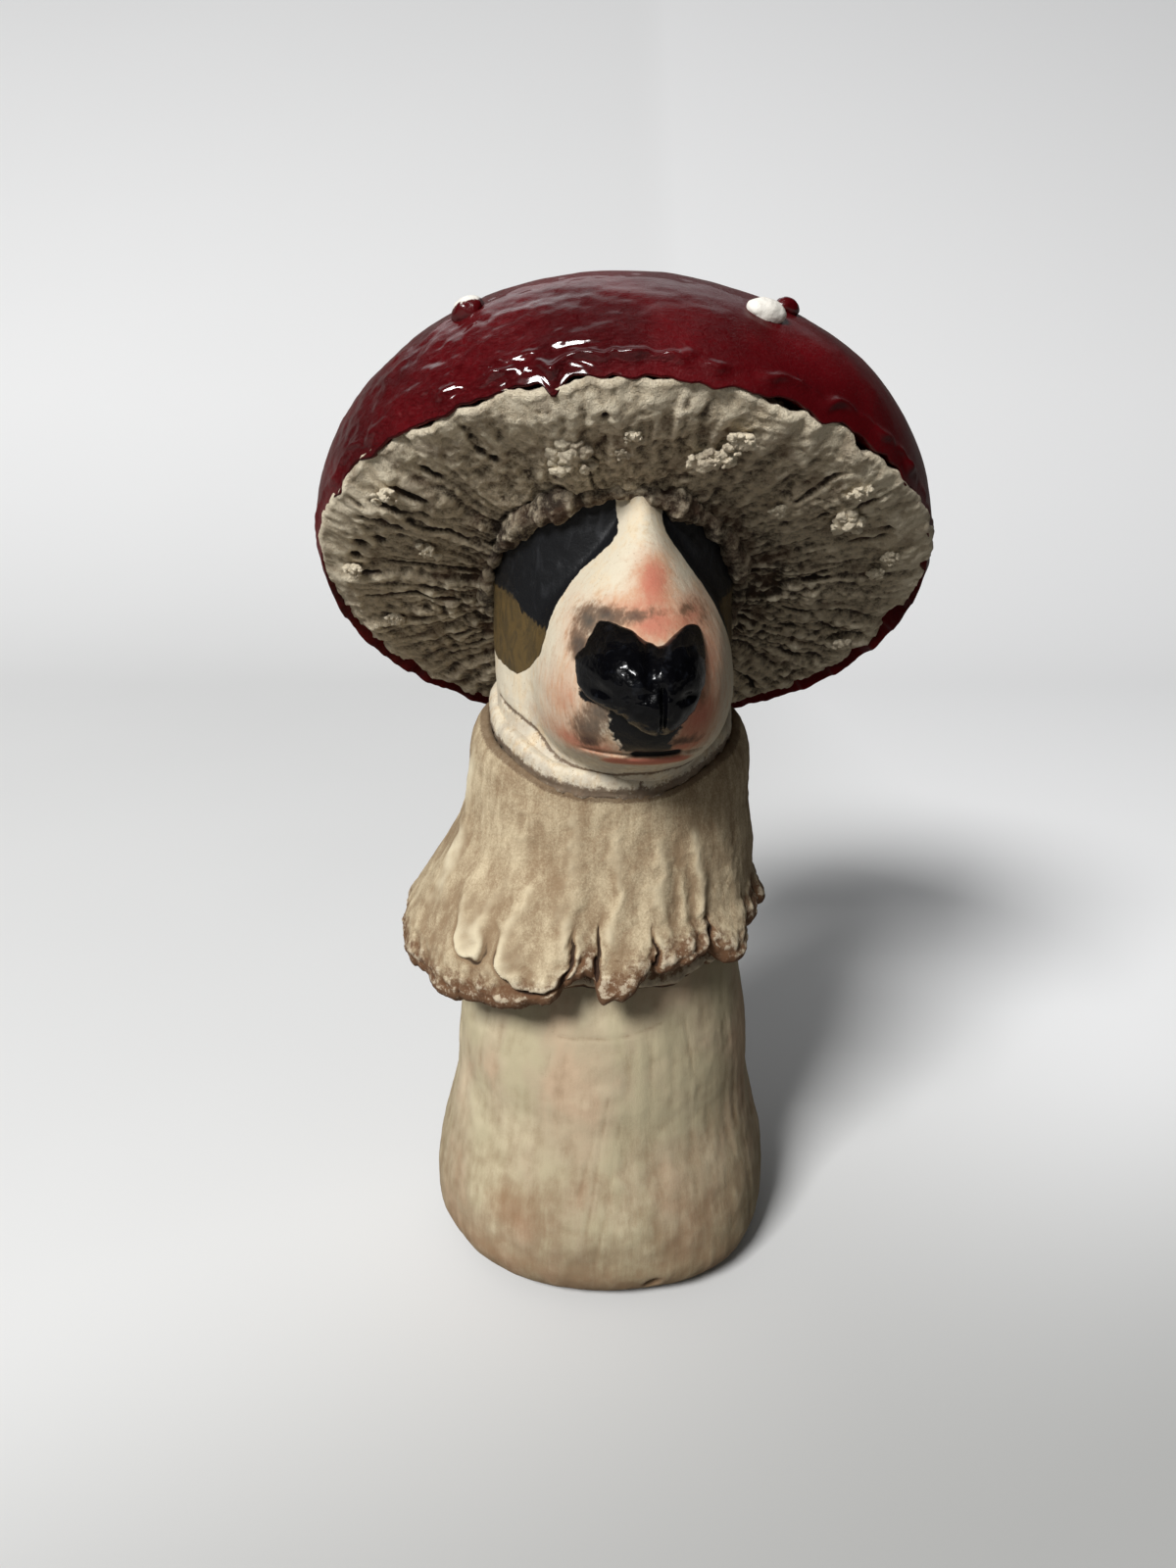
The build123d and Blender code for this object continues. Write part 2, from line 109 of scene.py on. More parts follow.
class MushroomColours(bpy.types.PropertyGroup):
    """Colours of the ornament's clays and paints."""

    crimson: colour("Crimson", "Gloss paint of the cap", 90, 9, 15)
    gill_clay: colour("Gill clay", "Bare clay of the gills where the wash is rubbed off", 216, 199, 170)
    gill_wash: colour("Gill wash", "Dark wash in the hollows of the gills", 64, 52, 42)
    stem_clay: colour("Stem clay", "Bare clay of stem and foot", 182, 166, 138)
    skirt_clay: colour("Skirt clay", "Bare clay of the skirt", 212, 195, 162)
    tan_wash: colour("Tan wash", "Brown wash rubbed over stem and skirt", 124, 95, 65)
    white_slip: colour("White slip", "White paint of the muzzle", 214, 203, 180)
    black_slip: colour("Black slip", "Black patches of the head", 14, 15, 18)
    tan_slip: colour("Tan slip", "Tan cheeks of the head", 92, 74, 42)
    pink: colour("Pink", "Bare pink skin over the nose and lips", 192, 140, 108)
    nose_black: colour("Nose black", "Glaze of the nose", 6, 6, 8)
    wart_white: colour("Wart white", "White paint of the cap's warts", 235, 230, 220)


def in_millimetres(group):
    """Sizes of a property group as plain numbers: lengths in millimetres, angles in radians."""
    sizes = {}
    for key in type(group).__annotations__:
        unit = group.bl_rna.properties[key].unit
        sizes[key] = getattr(group, key) / (MM if unit == "LENGTH" else 1)
    return SimpleNamespace(**sizes)


# Numbers on a lattice, curves and frames


def lattice_numbers(cells, seed):
    """Number from -1 to 1 for each whole-number cell: its coordinates times odd numbers, mixed by shifts."""
    mixed = cells[..., 0] * 73856093 + cells[..., 1] * 19349663 + cells[..., 2] * 83492791 + seed * 2654435
    mixed = ((mixed ^ (mixed >> 13)) * 1274126177) & 0xFFFFFFFF
    mixed = ((mixed ^ (mixed >> 15)) * 668265263) & 0xFFFFFFFF
    return ((mixed >> 8) & 0xFFFF) / 32767.5 - 1


def noise(points, size, seed):
    """Value noise: lattice numbers blended over a cell of the given size with weights 3t²-2t³."""
    place = points / size
    cells = np.floor(place).astype(np.int64)
    share = place - cells
    share = share * share * (3 - 2 * share)
    total = np.zeros(points.shape[:-1])
    for corner in np.ndindex(2, 2, 2):
        weight = np.prod(np.where(corner, share, 1 - share), axis=-1)
        total += weight * lattice_numbers(cells + np.array(corner), seed)
    return total


def rough(points, size, octaves, seed):
    """Sum of noises, each half the size and a little over half the height of the one before."""
    total = np.zeros(points.shape[:-1])
    height = 1.0
    for octave in range(octaves):
        total += height * noise(points, size / 2**octave, seed + octave)
        height *= 0.55
    return total


def smooth_step(value, low, high):
    """3t²-2t³ of t = (value - low) / (high - low), held between 0 and 1."""
    share = np.clip((value - low) / (high - low), 0, 1)
    return share * share * (3 - 2 * share)


def through(table, places):
    """Smooth curve through (place, value) pairs: cubic pieces whose slopes are those of the neighbours' chords."""
    xs, ys = np.array(table, dtype=float).T
    slopes = np.gradient(ys, xs)
    places = np.clip(places, xs[0], xs[-1])
    index = np.clip(np.searchsorted(xs, places) - 1, 0, len(xs) - 2)
    span = xs[index + 1] - xs[index]
    t = (places - xs[index]) / span
    start = ys[index] * (2 * t**3 - 3 * t**2 + 1) + slopes[index] * span * (t**3 - 2 * t**2 + t)
    return start + ys[index + 1] * (3 * t**2 - 2 * t**3) + slopes[index + 1] * span * (t**3 - t**2)


def bump_at(distance, radius):
    """Round bump exp(-(distance / radius)²)."""
    return np.exp(-((distance / radius) ** 2))


def wider(first, second, blend):
    """Smooth maximum (a + b + sqrt((a - b)² + blend²)) / 2."""
    return (first + second + np.sqrt((first - second) ** 2 + blend**2)) / 2


def angle_from(angles, centre):
    """Signed difference of angles in radians, wrapped to -pi to pi."""
    return (angles - centre + np.pi) % (2 * np.pi) - np.pi


def leaning(points, shape):
    """Points turned by the lean about Y through the origin."""
    c, s = np.cos(shape.lean), np.sin(shape.lean)
    return points @ np.array(((c, 0, s), (0, 1, 0), (-s, 0, c))).T


def on_cap(points, shape):
    """Points given in the cap's frame, whose zero level is the rim, brought to the part's frame."""
    c, s = np.cos(shape.cap_tilt), np.sin(shape.cap_tilt)
    tilted = points @ np.array(((1, 0, 0), (0, c, s), (0, -s, c))).T
    return leaning(tilted + np.array((shape.rim_shift, 0, shape.rim_height)), shape)


def around(angles, radii, heights):
    """Points at an angle from the front (-Y) towards +X, a radius and a height."""
    angles, radii, heights = np.broadcast_arrays(angles, radii, heights)
    return np.stack((radii * np.sin(angles), -radii * np.cos(angles), heights), axis=-1)


# Meshes


def sunk(heights, reach):
    """How far each grid point lies below the mean of its neighbourhood: box mean of the grid minus the grid."""
    mean = heights
    for step in range(1, reach + 1):
        mean = (mean + np.roll(mean, step, axis=1) + np.roll(mean, -step, axis=1)) / 3
        padded = np.concatenate((mean[:1].repeat(step, 0), mean, mean[-1:].repeat(step, 0)))
        mean = (padded[: -2 * step] + mean + padded[2 * step :]) / 3
    return mean - heights


def put_shell(name, rows, fields=None, ring=False):
    """Closed mesh of a grid of points: columns wrap round, and the end rows meet their mean point, or each
    other on a ring. Its faces are turned outwards by the sign of the volume they hold."""
    count, width = rows.shape[:2]
    points = rows.reshape(-1, 3)
    grid = np.arange(count * width).reshape(count, width)
    if ring:
        grid = np.vstack((grid, grid[:1]))
    right = np.roll(grid, -1, axis=1)
    quads = np.stack((grid[:-1], right[:-1], right[1:], grid[1:]), axis=-1).reshape(-1, 4)
    triangles = np.empty((0, 3), dtype=int)
    if not ring:
        points = np.vstack((points, rows[0].mean(0), rows[-1].mean(0)))
        low, high = count * width, count * width + 1
        first = np.stack((right[0], grid[0], np.full(width, low)), axis=-1)
        last = np.stack((grid[-1], right[-1], np.full(width, high)), axis=-1)
        triangles = np.vstack((first, last))
    corners = np.vstack((quads[:, :3], quads[:, (0, 2, 3)], triangles))
    a, b, c = points[corners[:, 0]], points[corners[:, 1]], points[corners[:, 2]]
    if np.einsum("ij,ij->", a, np.cross(b, c)) < 0:
        quads = quads[:, ::-1]
        triangles = triangles[:, ::-1]
    mesh = bpy.data.meshes.new(name)
    mesh.from_pydata((points * MM).tolist(), [], quads.tolist() + triangles.tolist())
    mesh.polygons.foreach_set("use_smooth", np.ones(len(mesh.polygons), dtype=bool))
    for field, values in (fields or {}).items():
        if not ring:
            values = np.concatenate((values.ravel(), (values[0].mean(), values[-1].mean())))
        mesh.attributes.new(field, "FLOAT", "POINT").data.foreach_set("value", values.ravel())
    mesh.update()
    piece = bpy.data.objects.new(name, mesh)
    bpy.context.collection.objects.link(piece)
    return piece


def lump(radii, detail, seed, unevenness):
    """Rows of a lumpy ellipsoid: the unit ball's grid times radii times 1 + unevenness x noise."""
    rise = np.linspace(-np.pi / 2, np.pi / 2, detail + 2)[1:-1, None]
    azimuth = np.linspace(0, 2 * np.pi, 2 * detail, endpoint=False)[None, :]
    across, along = np.cos(rise) * np.cos(azimuth), np.cos(rise) * np.sin(azimuth)
    ball = np.stack(np.broadcast_arrays(across, along, np.sin(rise)), axis=-1)
    return ball * np.array(radii) * (1 + unevenness * rough(ball, 0.9, 3, seed)[..., None])


def put_lumps(name, lumps, fields=None):
    """One mesh of several closed lumps, each a grid of rows."""
    pieces = []
    for i, rows in enumerate(lumps):
        even = {key: np.full(rows.shape[:2], value[i]) for key, value in (fields or {}).items()}
        pieces.append(put_shell(name, rows, even))
    with bpy.context.temp_override(active_object=pieces[0], selected_editable_objects=pieces):
        bpy.ops.object.join()
    pieces[0].name = name
    return pieces[0]


def dress(piece, material, slot, *nodes):
    """Gives a piece its material, sets it on the part's body and hides the CAD nodes that it stands for."""
    piece.data.materials.append(material)
    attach(piece, "root")
    if nodes:
        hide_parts(*nodes)


# Shader expressions


class Field:
    """One shader value. Arithmetic on fields adds the Math nodes that work it out."""

    def __init__(self, finish, socket):
        self.finish = finish
        self.socket = socket

    def math(self, operation, *others):
        node = self.finish.node("ShaderNodeMath", {"operation": operation}, dict(enumerate((self, *others))))
        return Field(self.finish, node.outputs[0])

    def __add__(self, other):
        return self.math("ADD", other)

    def __sub__(self, other):
        return self.math("SUBTRACT", other)

    def __rsub__(self, other):
        return (self * -1) + other

    def __mul__(self, other):
        return self.math("MULTIPLY", other)

    __radd__ = __add__
    __rmul__ = __mul__

    def step(self, low, high):
        """Smooth step from 0 at low to 1 at high."""
        settings = {"interpolation_type": "SMOOTHSTEP"}
        node = self.finish.node("ShaderNodeMapRange", settings, {"Value": self, "From Min": low, "From Max": high})
        return Field(self.finish, node.outputs["Result"])

    def least(self, other):
        return self.math("MINIMUM", other)


class Finish:
    """Node tree of one material, with one short call for each kind of node it needs."""

    def __init__(self, name):
        self.material = bpy.data.materials.new(name)
        self.material.use_nodes = True
        self.tree = self.material.node_tree
        self.tree.nodes.clear()
        self.place = self.node("ShaderNodeTexCoord", {}, {}).outputs["Object"]

    def node(self, kind, settings, inputs):
        """Node of a type, its settings set first, then its socket values and links."""
        node = self.tree.nodes.new(kind)
        for key, value in settings.items():
            setattr(node, key, value)
        for key, value in inputs.items():
            socket = node.inputs[key]
            value = value.socket if isinstance(value, Field) else value
            if isinstance(value, bpy.types.NodeSocket):
                self.tree.links.new(value, socket)
            elif socket.type == "RGBA":
                socket.default_value = (*value, 1)
            else:
                socket.default_value = value
        return node

    def scaled_height(self):
        """Height of a point in metres."""
        return Field(self, self.node("ShaderNodeSeparateXYZ", {}, {0: self.place}).outputs[2])

    def scaled(self, shares, vector=None):
        """Object coordinates times one share for each axis."""
        inputs = {0: vector or self.place, 1: shares}
        return self.node("ShaderNodeVectorMath", {"operation": "MULTIPLY"}, inputs).outputs[0]

    def noise(self, millimetres, detail=3.0, roughness=0.55, distortion=0.0, vector=None):
        """Noise whose features have about the given size, from 0 to 1."""
        inputs = {"Vector": vector or self.place, "Scale": 1 / (millimetres * MM), "Detail": detail}
        inputs.update({"Roughness": roughness, "Distortion": distortion})
        return Field(self, self.node("ShaderNodeTexNoise", {}, inputs).outputs["Fac"])

    def field(self, name):
        """Value that the mesh carries under a name."""
        return Field(self, self.node("ShaderNodeAttribute", {"attribute_name": name}, {}).outputs["Fac"])

    def mix(self, first, second, share):
        """Colour between two colours."""
        inputs = {0: share, 6: first, 7: second}
        return self.node("ShaderNodeMix", {"data_type": "RGBA"}, inputs).outputs[2]

    def bump(self, height, millimetres, strength=1.0, below=None):
        """Normal of a height field from 0 to 1 that stands for the given depth."""
        inputs = {"Height": height, "Distance": millimetres * MM, "Strength": strength}
        if below:
            inputs["Normal"] = below
        return self.node("ShaderNodeBump", {}, inputs).outputs["Normal"]

    def surface(self, inputs):
        """Principled surface from socket values and links."""
        shader = self.node("ShaderNodeBsdfPrincipled", {}, inputs)
        self.node("ShaderNodeOutputMaterial", {}, {"Surface": shader.outputs[0]})
        return self.material


def cap_paint(colours):
    """Crimson gloss paint with brush marks and wrinkles, over pale clay where it ends under the rim."""
    f = Finish("crimson_gloss")
    brush = f.noise(0.45, 4, 0.6, 0.3, f.scaled((0.22, 1.0, 1.0)))
    wrinkle = f.noise(1.0, 5, 0.65, 1.6, f.scaled((0.6, 1.0, 1.0)))
    broad = f.noise(18, 2)
    deep = f.mix(tuple(0.62 * c for c in colours.crimson), colours.crimson, broad.step(0.38, 0.62))
    worn = f.mix(deep, paint(104, 5, 15), (f.noise(6, 4) * broad).step(0.31, 0.42) * 0.4)
    speck = 1 - f.noise(0.8, 2).step(0.24, 0.31)
    base = f.mix(worn, paint(40, 2, 6), speck * 0.6)
    under = (f.field("under") + (f.noise(1.6, 3) - 0.5) * 0.5).step(0.45, 0.6)
    base = f.mix(base, f.mix(colours.gill_clay, colours.gill_wash, f.noise(1.4, 4).step(0.45, 0.7) * 0.6), under)
    patch = f.field("wrinkled")
    fine = f.bump(brush, 0.05, 0.7)
    normal = f.bump(wrinkle * (0.10 + patch * 0.90), 0.9, 1.0, fine)
    return f.surface({
        "Base Color": base,
        "Roughness": 0.36 + brush * 0.16 + under * 0.5 - patch * 0.14,
        "Normal": normal,
        "Specular IOR Level": 0.10,
        "Coat Weight": (0.14 + patch * 0.86) * (1 - under),
        "Coat Roughness": 0.09,
    })


def gill_finish(colours):
    """Coarse clay with a dark brown wash in its hollows, painted shade in the deepest hollows, pits and near the head,
    and pale crests, crumbs and rim, partly painted highlight.
    """
    f = Finish("washed_gill_clay")
    grain = f.noise(0.55, 5, 0.8)
    cloud = f.noise(9, 3)
    hollow = f.field("hollow")
    edge = f.field("edge")
    inner = f.field("inner")
    # Heavier wash near the head: brown wash and painted shade under the cap.
    wash = hollow * 0.8 + (grain - 0.5) * 1.9 + (cloud - 0.5) * 0.9 + 0.28 - edge * 0.42 + inner * 0.45
    wash = wash.step(-0.15, 0.98)
    base = f.mix(colours.gill_clay, colours.gill_wash, wash)
    # Pale crests, rim and crumbs: rubbed clay, and painted highlight where they catch the lamp.
    pale = (edge * 0.62 - hollow * 0.9 + (grain - 0.5) * 2.0 + (f.noise(3.5, 3) - 0.5) * 1.5).step(0.22, 0.85)
    base = f.mix(base, paint(248, 234, 206), pale * 0.95)
    base = f.mix(base, paint(104, 74, 52), (f.noise(5, 3) + inner * 0.12).step(0.50, 0.72) * 0.45)
    # Dark specks: painted shade in tiny pits.
    pit = 1 - f.noise(0.5, 3, 0.7).step(0.26, 0.34)
    base = f.mix(base, paint(30, 23, 18), pit * 0.6)
    # Near-black in the deepest hollows: painted shade.
    base = f.mix(base, paint(24, 18, 14), (hollow + (grain - 0.5) * 0.9).step(0.75, 1.6) * 0.72)
    normal = f.bump(f.noise(1.1, 4, 0.75), 0.40, 0.9, f.bump(grain, 0.40, 1.0))
    return f.surface({
        "Base Color": base,
        "Roughness": 0.88 - hollow * 0.08,
        "Normal": normal,
        "Specular IOR Level": 0.3,
    })


def head_paint(colours):
    """White blaze between black patches with tan cheeks, pink skin round the nose and lips."""
    f = Finish("painted_face")
    grain = f.noise(0.45, 4, 0.7)
    brush = f.noise(1.1, 4, 0.6, 0.3, f.scaled((1.0, 1.0, 0.35)))
    ragged = (f.noise(1.5, 4, 0.65) - 0.5) * 1.6
    white = f.mix(colours.white_slip, paint(220, 198, 162), (brush + f.noise(6, 2) - 1.0).step(-0.05, 0.25) * 0.5)
    low = (f.scaled_height() * -1 + 0.127).step(0.0, 0.010)
    worn = (brush * 0.4 + grain * 0.3 + f.noise(3.4, 4) * 0.3 + low * 0.06).step(0.50, 0.70)
    base = f.mix(white, paint(168, 138, 100), worn * (0.35 + low * 0.30))
    base = f.mix(base, paint(178, 170, 156), low * f.noise(4.0, 4).step(0.40, 0.62) * 0.6)
    pink = (f.field("pink") + (brush - 0.5) * 0.5 + (grain - 0.5) * 0.2).step(0.05, 0.85) * 0.92
    skin = f.mix(colours.pink, paint(182, 92, 72), (f.field("pink") + (brush - 0.5) * 0.4).step(0.50, 1.05) * 0.85)
    base = f.mix(base, skin, pink)
    smudge = (f.field("smudge") + (brush - 0.5) * 0.8 + (f.noise(1.5, 4, 0.7) - 0.5) * 1.3).step(0.22, 0.90)
    dark_smudge = (f.field("smudge") + (ragged + brush - 0.5) * 0.45).step(0.55, 1.35)
    base = f.mix(base, f.mix(paint(116, 88, 66), paint(34, 27, 25), dark_smudge), smudge * 0.88)
    fleck = f.noise(0.55, 4, 0.8).step(0.60, 0.68) * (0.35 + low * 0.45 + f.noise(5, 3).step(0.45, 0.65) * 0.4)
    base = f.mix(base, paint(132, 98, 68), fleck)
    ink = (f.field("ink") + (f.noise(1.0, 4) - 0.5) * 0.7).step(0.50, 0.66)
    base = f.mix(base, colours.nose_black, ink)
    dark = (f.field("patch") + ragged * 0.6).step(-0.08, 0.08)
    wipe = f.noise(2.4, 4, 0.6, 0.8, f.scaled((1.0, 1.0, 0.5)))
    tan = (f.field("cheek") + ragged * 1.5 + (wipe - 0.5) * 6).step(-0.4, 0.4)
    patch = f.mix(colours.black_slip, paint(46, 47, 50), wipe.step(0.50, 0.78) * 0.6)
    patch = f.mix(patch, f.mix(colours.tan_slip, paint(58, 50, 34), wipe.step(0.42, 0.62) * 0.6), tan)
    base = f.mix(base, patch, dark)
    seam = (f.field("seam") + (grain - 0.5) * 1.1 + (f.noise(1.6, 4, 0.7) - 0.5) * 1.3).step(0.32, 0.80)
    base = f.mix(base, paint(88, 66, 47), seam * 0.85)
    # Near-black in the mouth's groove: painted shade.
    base = f.mix(base, paint(14, 9, 8), f.field("mouth").step(0.35, 0.75))
    normal = f.bump(brush, 0.12, 0.8, f.bump(grain, 0.10, 0.7))
    return f.surface({
        "Base Color": base,
        "Roughness": 0.70 - dark * 0.24 - ink * 0.30 + (grain - 0.5) * 0.2,
        "Normal": normal,
        "Specular IOR Level": 0.35,
    })


def nose_finish(colours):
    """Black glaze, thick and uneven."""
    f = Finish("black_nose_glaze")
    broad = f.noise(3.0, 3)
    base = f.mix(colours.nose_black, paint(26, 28, 33), f.noise(2.2, 4, 0.6, 0.6).step(0.52, 0.72) * 0.7)
    normal = f.bump(f.noise(2.2, 3, 0.5, 0.4), 0.40, 0.6, f.bump(f.noise(0.6, 3), 0.06, 0.8))
    return f.surface({
        "Base Color": base,
        "Roughness": 0.20 + broad.step(0.45, 0.75) * 0.25,
        "Normal": normal,
        "Specular IOR Level": 0.12,
        "Coat Weight": 0.35,
        "Coat Roughness": 0.09,
    })


def stem_finish(colours):
    """Pale matt clay with faint green and pink tints, brown stains low down, painted shade over the front and right,
    and fine scratches.
    """
    f = Finish("stem_clay")
    grain = f.noise(0.4, 5, 0.85)
    fibre = f.noise(0.7, 5, 0.65, 0.2, f.scaled((1.0, 1.0, 0.12)))
    drift = f.noise(12, 4, 0.5, 0.4, f.scaled((1.0, 1.0, 0.55)))
    low = (f.scaled_height() * -1 + 0.052).step(0.0, 0.046)
    hollow = f.field("hollow")
    base = f.mix(colours.stem_clay, paint(186, 178, 144), drift.step(0.44, 0.62) * 0.50)
    base = f.mix(base, paint(200, 168, 140), (1 - drift).step(0.52, 0.70) * 0.50)
    base = f.mix(base, paint(222, 208, 176), f.noise(15, 3).step(0.50, 0.70) * 0.40)
    wash = (fibre * 0.36 + grain * 0.5 + low * 0.40 + hollow * 0.3 + (f.noise(8, 3) - 0.5) * 0.9).step(0.33, 1.08)
    base = f.mix(base, colours.tan_wash, wash * 0.60)
    # Brown stains, and broad brown patches over the front and right that are painted shade.
    stain_and_shade = (f.field("stain_and_shade") + (fibre - 0.5) * 0.4 + (f.noise(3, 4) - 0.5) * 0.5).step(0.25, 1.0)
    base = f.mix(base, paint(140, 98, 64), stain_and_shade * 0.45)
    base = f.mix(base, paint(96, 74, 54), (hollow + (grain - 0.5) * 0.5).step(0.7, 1.6) * 0.40)
    pit = 1 - f.noise(0.6, 2).step(0.20, 0.26)
    base = f.mix(base, paint(110, 84, 60), pit * 0.4)
    normal = f.bump(fibre, 0.07, 0.6, f.bump(grain, 0.10, 0.8))
    return f.surface({
        "Base Color": base,
        "Roughness": 0.84 - drift * 0.10,
        "Normal": normal,
        "Specular IOR Level": 0.3,
    })


def skirt_finish(colours):
    """Beige clay with a brown wash in soft streaks, pale ridges that are partly worn clay and partly painted highlight,
    painted shade in cracks, hollows and under the hem, and a crumbly brown hem.
    """
    f = Finish("skirt_clay")
    grain = f.noise(0.40, 5, 0.85)
    fibre = f.noise(2.2, 5, 0.6, 0.4, f.scaled((1.0, 1.0, 0.18)))
    cloud = f.noise(9, 3, 0.55, 0.3, f.scaled((1.0, 1.0, 0.6)))
    hollow = f.field("hollow")
    low = f.field("low")
    wash = (hollow * 0.7 + (fibre - 0.5) * 1.2 + (cloud - 0.5) * 1.2 + (grain - 0.5) * 1.6 + 0.52).step(-0.1, 0.95)
    base = f.mix(colours.skirt_clay, colours.tan_wash, wash * 0.80)
    # Pale ridges: worn clay, and painted highlight where they face the lamp.
    worn = (f.field("worn") * 0.8 + fibre * 0.35 + cloud * 0.35 - hollow * 0.3 + (grain - 0.5) * 0.8).step(0.50, 1.10)
    base = f.mix(base, paint(228, 215, 184), worn * 0.80)
    crumbly = (low * 1.05 + (f.noise(1.5, 4, 0.7) - 0.5) * 1.6 - f.field("worn") * 0.3).step(0.38, 0.95)
    base = f.mix(base, paint(102, 67, 42), crumbly * 0.88)
    rub = (low * 0.5 - hollow * 0.5 + (f.noise(0.9, 4, 0.7) - 0.5) * 2.0).step(0.42, 0.80)
    base = f.mix(base, paint(232, 218, 190), rub * 0.5)
    seam = (f.field("seam") + (grain - 0.5) * 0.9).step(0.50, 0.9)
    base = f.mix(base, paint(96, 72, 50), seam * 0.7)
    # Near-black in the cracks and deepest hollows: painted shade.
    base = f.mix(base, paint(48, 30, 20), (hollow + (grain - 0.5) * 0.3).step(0.75, 1.4) * 0.9)
    normal = f.bump(f.noise(1.1, 4, 0.7), 0.22, 0.6, f.bump(grain, 0.18, 1.0))
    return f.surface({
        "Base Color": base,
        "Roughness": 0.86 - cloud * 0.08,
        "Normal": normal,
        "Specular IOR Level": 0.3,
    })


def wart_finish(colours):
    """White gloss dab over the cap's red."""
    f = Finish("wart_white_dab")
    edge = (f.field("white") + (f.noise(1.3, 3) - 0.5) * 0.7).step(0.40, 0.52)
    red = f.mix(tuple(0.4 * c for c in colours.crimson), colours.crimson, f.noise(2, 2))
    white = f.mix(colours.wart_white, paint(190, 176, 164), f.noise(1.0, 4).step(0.5, 0.8) * 0.5)
    normal = f.bump(f.noise(0.9, 4), 0.22, 0.7)
    return f.surface({
        "Base Color": f.mix(red, white, edge),
        "Roughness": 0.26 + edge * 0.25,
        "Normal": normal,
        "Coat Weight": 0.4 - edge * 0.3,
        "Coat Roughness": 0.15,
    })


# Surfaces of the pieces


def stem_rows(shape):
    """Stem and foot: rings round the leaning axis whose radius follows a two-arc S from bulge to waist and one
    from waist to seat, flattened a little in front, plus noise; below, rings from the vent to the heel."""
    angles = np.linspace(0, 2 * np.pi, 420, endpoint=False)[None, :]
    heel = 10.0
    vent = 2.5
    inside = np.array((5.5, 3.0, 1.2, 0.3))[:, None]
    vent_rows = around(angles, np.full_like(inside, vent) + np.array((0, 0, 0.05, 0.2))[:, None], inside)
    vent_rows[..., 1] += 9.0
    spread = np.linspace(0.0, 1.0, 16)[:, None, None]
    vent_edge = around(angles, vent + 0.5, 0.0) + np.array((0, 9.0, 0))
    heel_edge = around(angles, shape.foot_radius - heel, 0.0)
    floor_rows = vent_edge * (1 - spread) + heel_edge * spread
    turn_up = np.linspace(0.06, np.pi / 2, 22)[:, None]
    heights = np.concatenate((heel - heel * np.cos(turn_up), np.linspace(heel + 0.5, 99, 165)[:, None]))
    levels = ((heel, 0.0), (14.0, 0.0), (shape.waist_height, 1.0), (92.0, 2.0), (100.0, 2.0))
    radii = np.interp(heights, [level[0] for level in levels[:2]], (shape.foot_radius, shape.foot_radius))
    for low, high, wide, narrow in (
        (14.0, shape.waist_height, shape.foot_radius, shape.waist_radius),
        (shape.waist_height, 92.0, shape.waist_radius, shape.seat_radius),
    ):
        radii = np.where(heights > low, wide + (narrow - wide) * smooth_step(heights, low, high), radii)
    radii[:22] += heel * np.sin(turn_up) - heel
    ring = around(angles, radii, heights)
    front = bump_at(angle_from(angles, 0), 0.55) - 0.5 * bump_at(angle_from(angles, 0.75), 0.4)
    low_share = 1 - smooth_step(heights, 4, 26)
    relief = 0.55 * rough(ring, 24, 2, 3) + 0.14 * rough(ring, 5, 3, 7)
    relief = relief + 0.11 * rough(ring * np.array((1, 1, 0.12)), 2.2, 2, 11)
    relief -= 1.6 * front * low_share
    relief -= scratches(angles, heights)
    relief *= smooth_step(heights, 0.0, 2.0)
    radii = radii + relief
    wall = around(angles, radii, heights)
    rows = np.concatenate((vent_rows, floor_rows, wall))
    hollow = np.zeros(rows.shape[:2])
    hollow[len(vent_rows) + len(floor_rows) :] = sunk(relief, 3) * 6
    stain_and_shade = np.zeros(rows.shape[:2])
    across = wall[..., 0]
    # Spots across and up the stem: brown stains low down, and two broad patches over the front and right that are
    # painted shade on the side away from the lamp.
    spots = ((-18.0, 22.0, 7.0, 6.0, 0.9), (-22.0, 9.0, 14.0, 6.0, 0.7), (8.0, 5.0, 30.0, 6.0, 0.7), (20.0, 14.0, 9.0, 9.0, 0.5),
             (8.0, 26.0, 22.0, 26.0, 0.42), (26.0, 40.0, 10.0, 30.0, 0.45))
    stain_and_shade[len(vent_rows) + len(floor_rows) :] = spot_field(spots, across, heights) * (np.cos(angles) > -0.2)
    return rows, {"hollow": hollow, "stain_and_shade": stain_and_shade}


def scratches(angles, heights):
    """Depth of the scratches on the stem: each a thin bump across the line z = level + slope x angle."""
    depth = np.zeros(np.broadcast(angles, heights).shape)
    for turn_from, turn_to, level_from, level_to, width, deep in SCRATCHES:
        across = angle_from(angles, 0) * 32
        start = np.array((turn_from, level_from))
        run = np.array((turn_to, level_to)) - start
        share = ((across - start[0]) * run[0] + (heights - start[1]) * run[1]) / (run @ run)
        share = np.clip(share, 0, 1)
        away = np.hypot(across - start[0] - share * run[0], heights - start[1] - share * run[1])
        depth += deep * bump_at(away, width)
    return depth


SCRATCHES = (
    (-10.5, 4.5, 59.5, 60.6, 0.28, 0.20),
    (4.5, 13.0, 60.6, 62.6, 0.24, 0.13),
    (0.5, -3.0, 48.0, 20.0, 0.30, 0.12),
    (3.0, -1.5, 42.0, 12.0, 0.30, 0.10),
    (-2.5, -4.5, 38.0, 28.0, 0.30, 0.10),
    (18.0, 19.5, 62.0, 50.0, 0.25, 0.12),
    (9.5, 10.2, 5.2, 6.0, 0.9, 1.4),
)


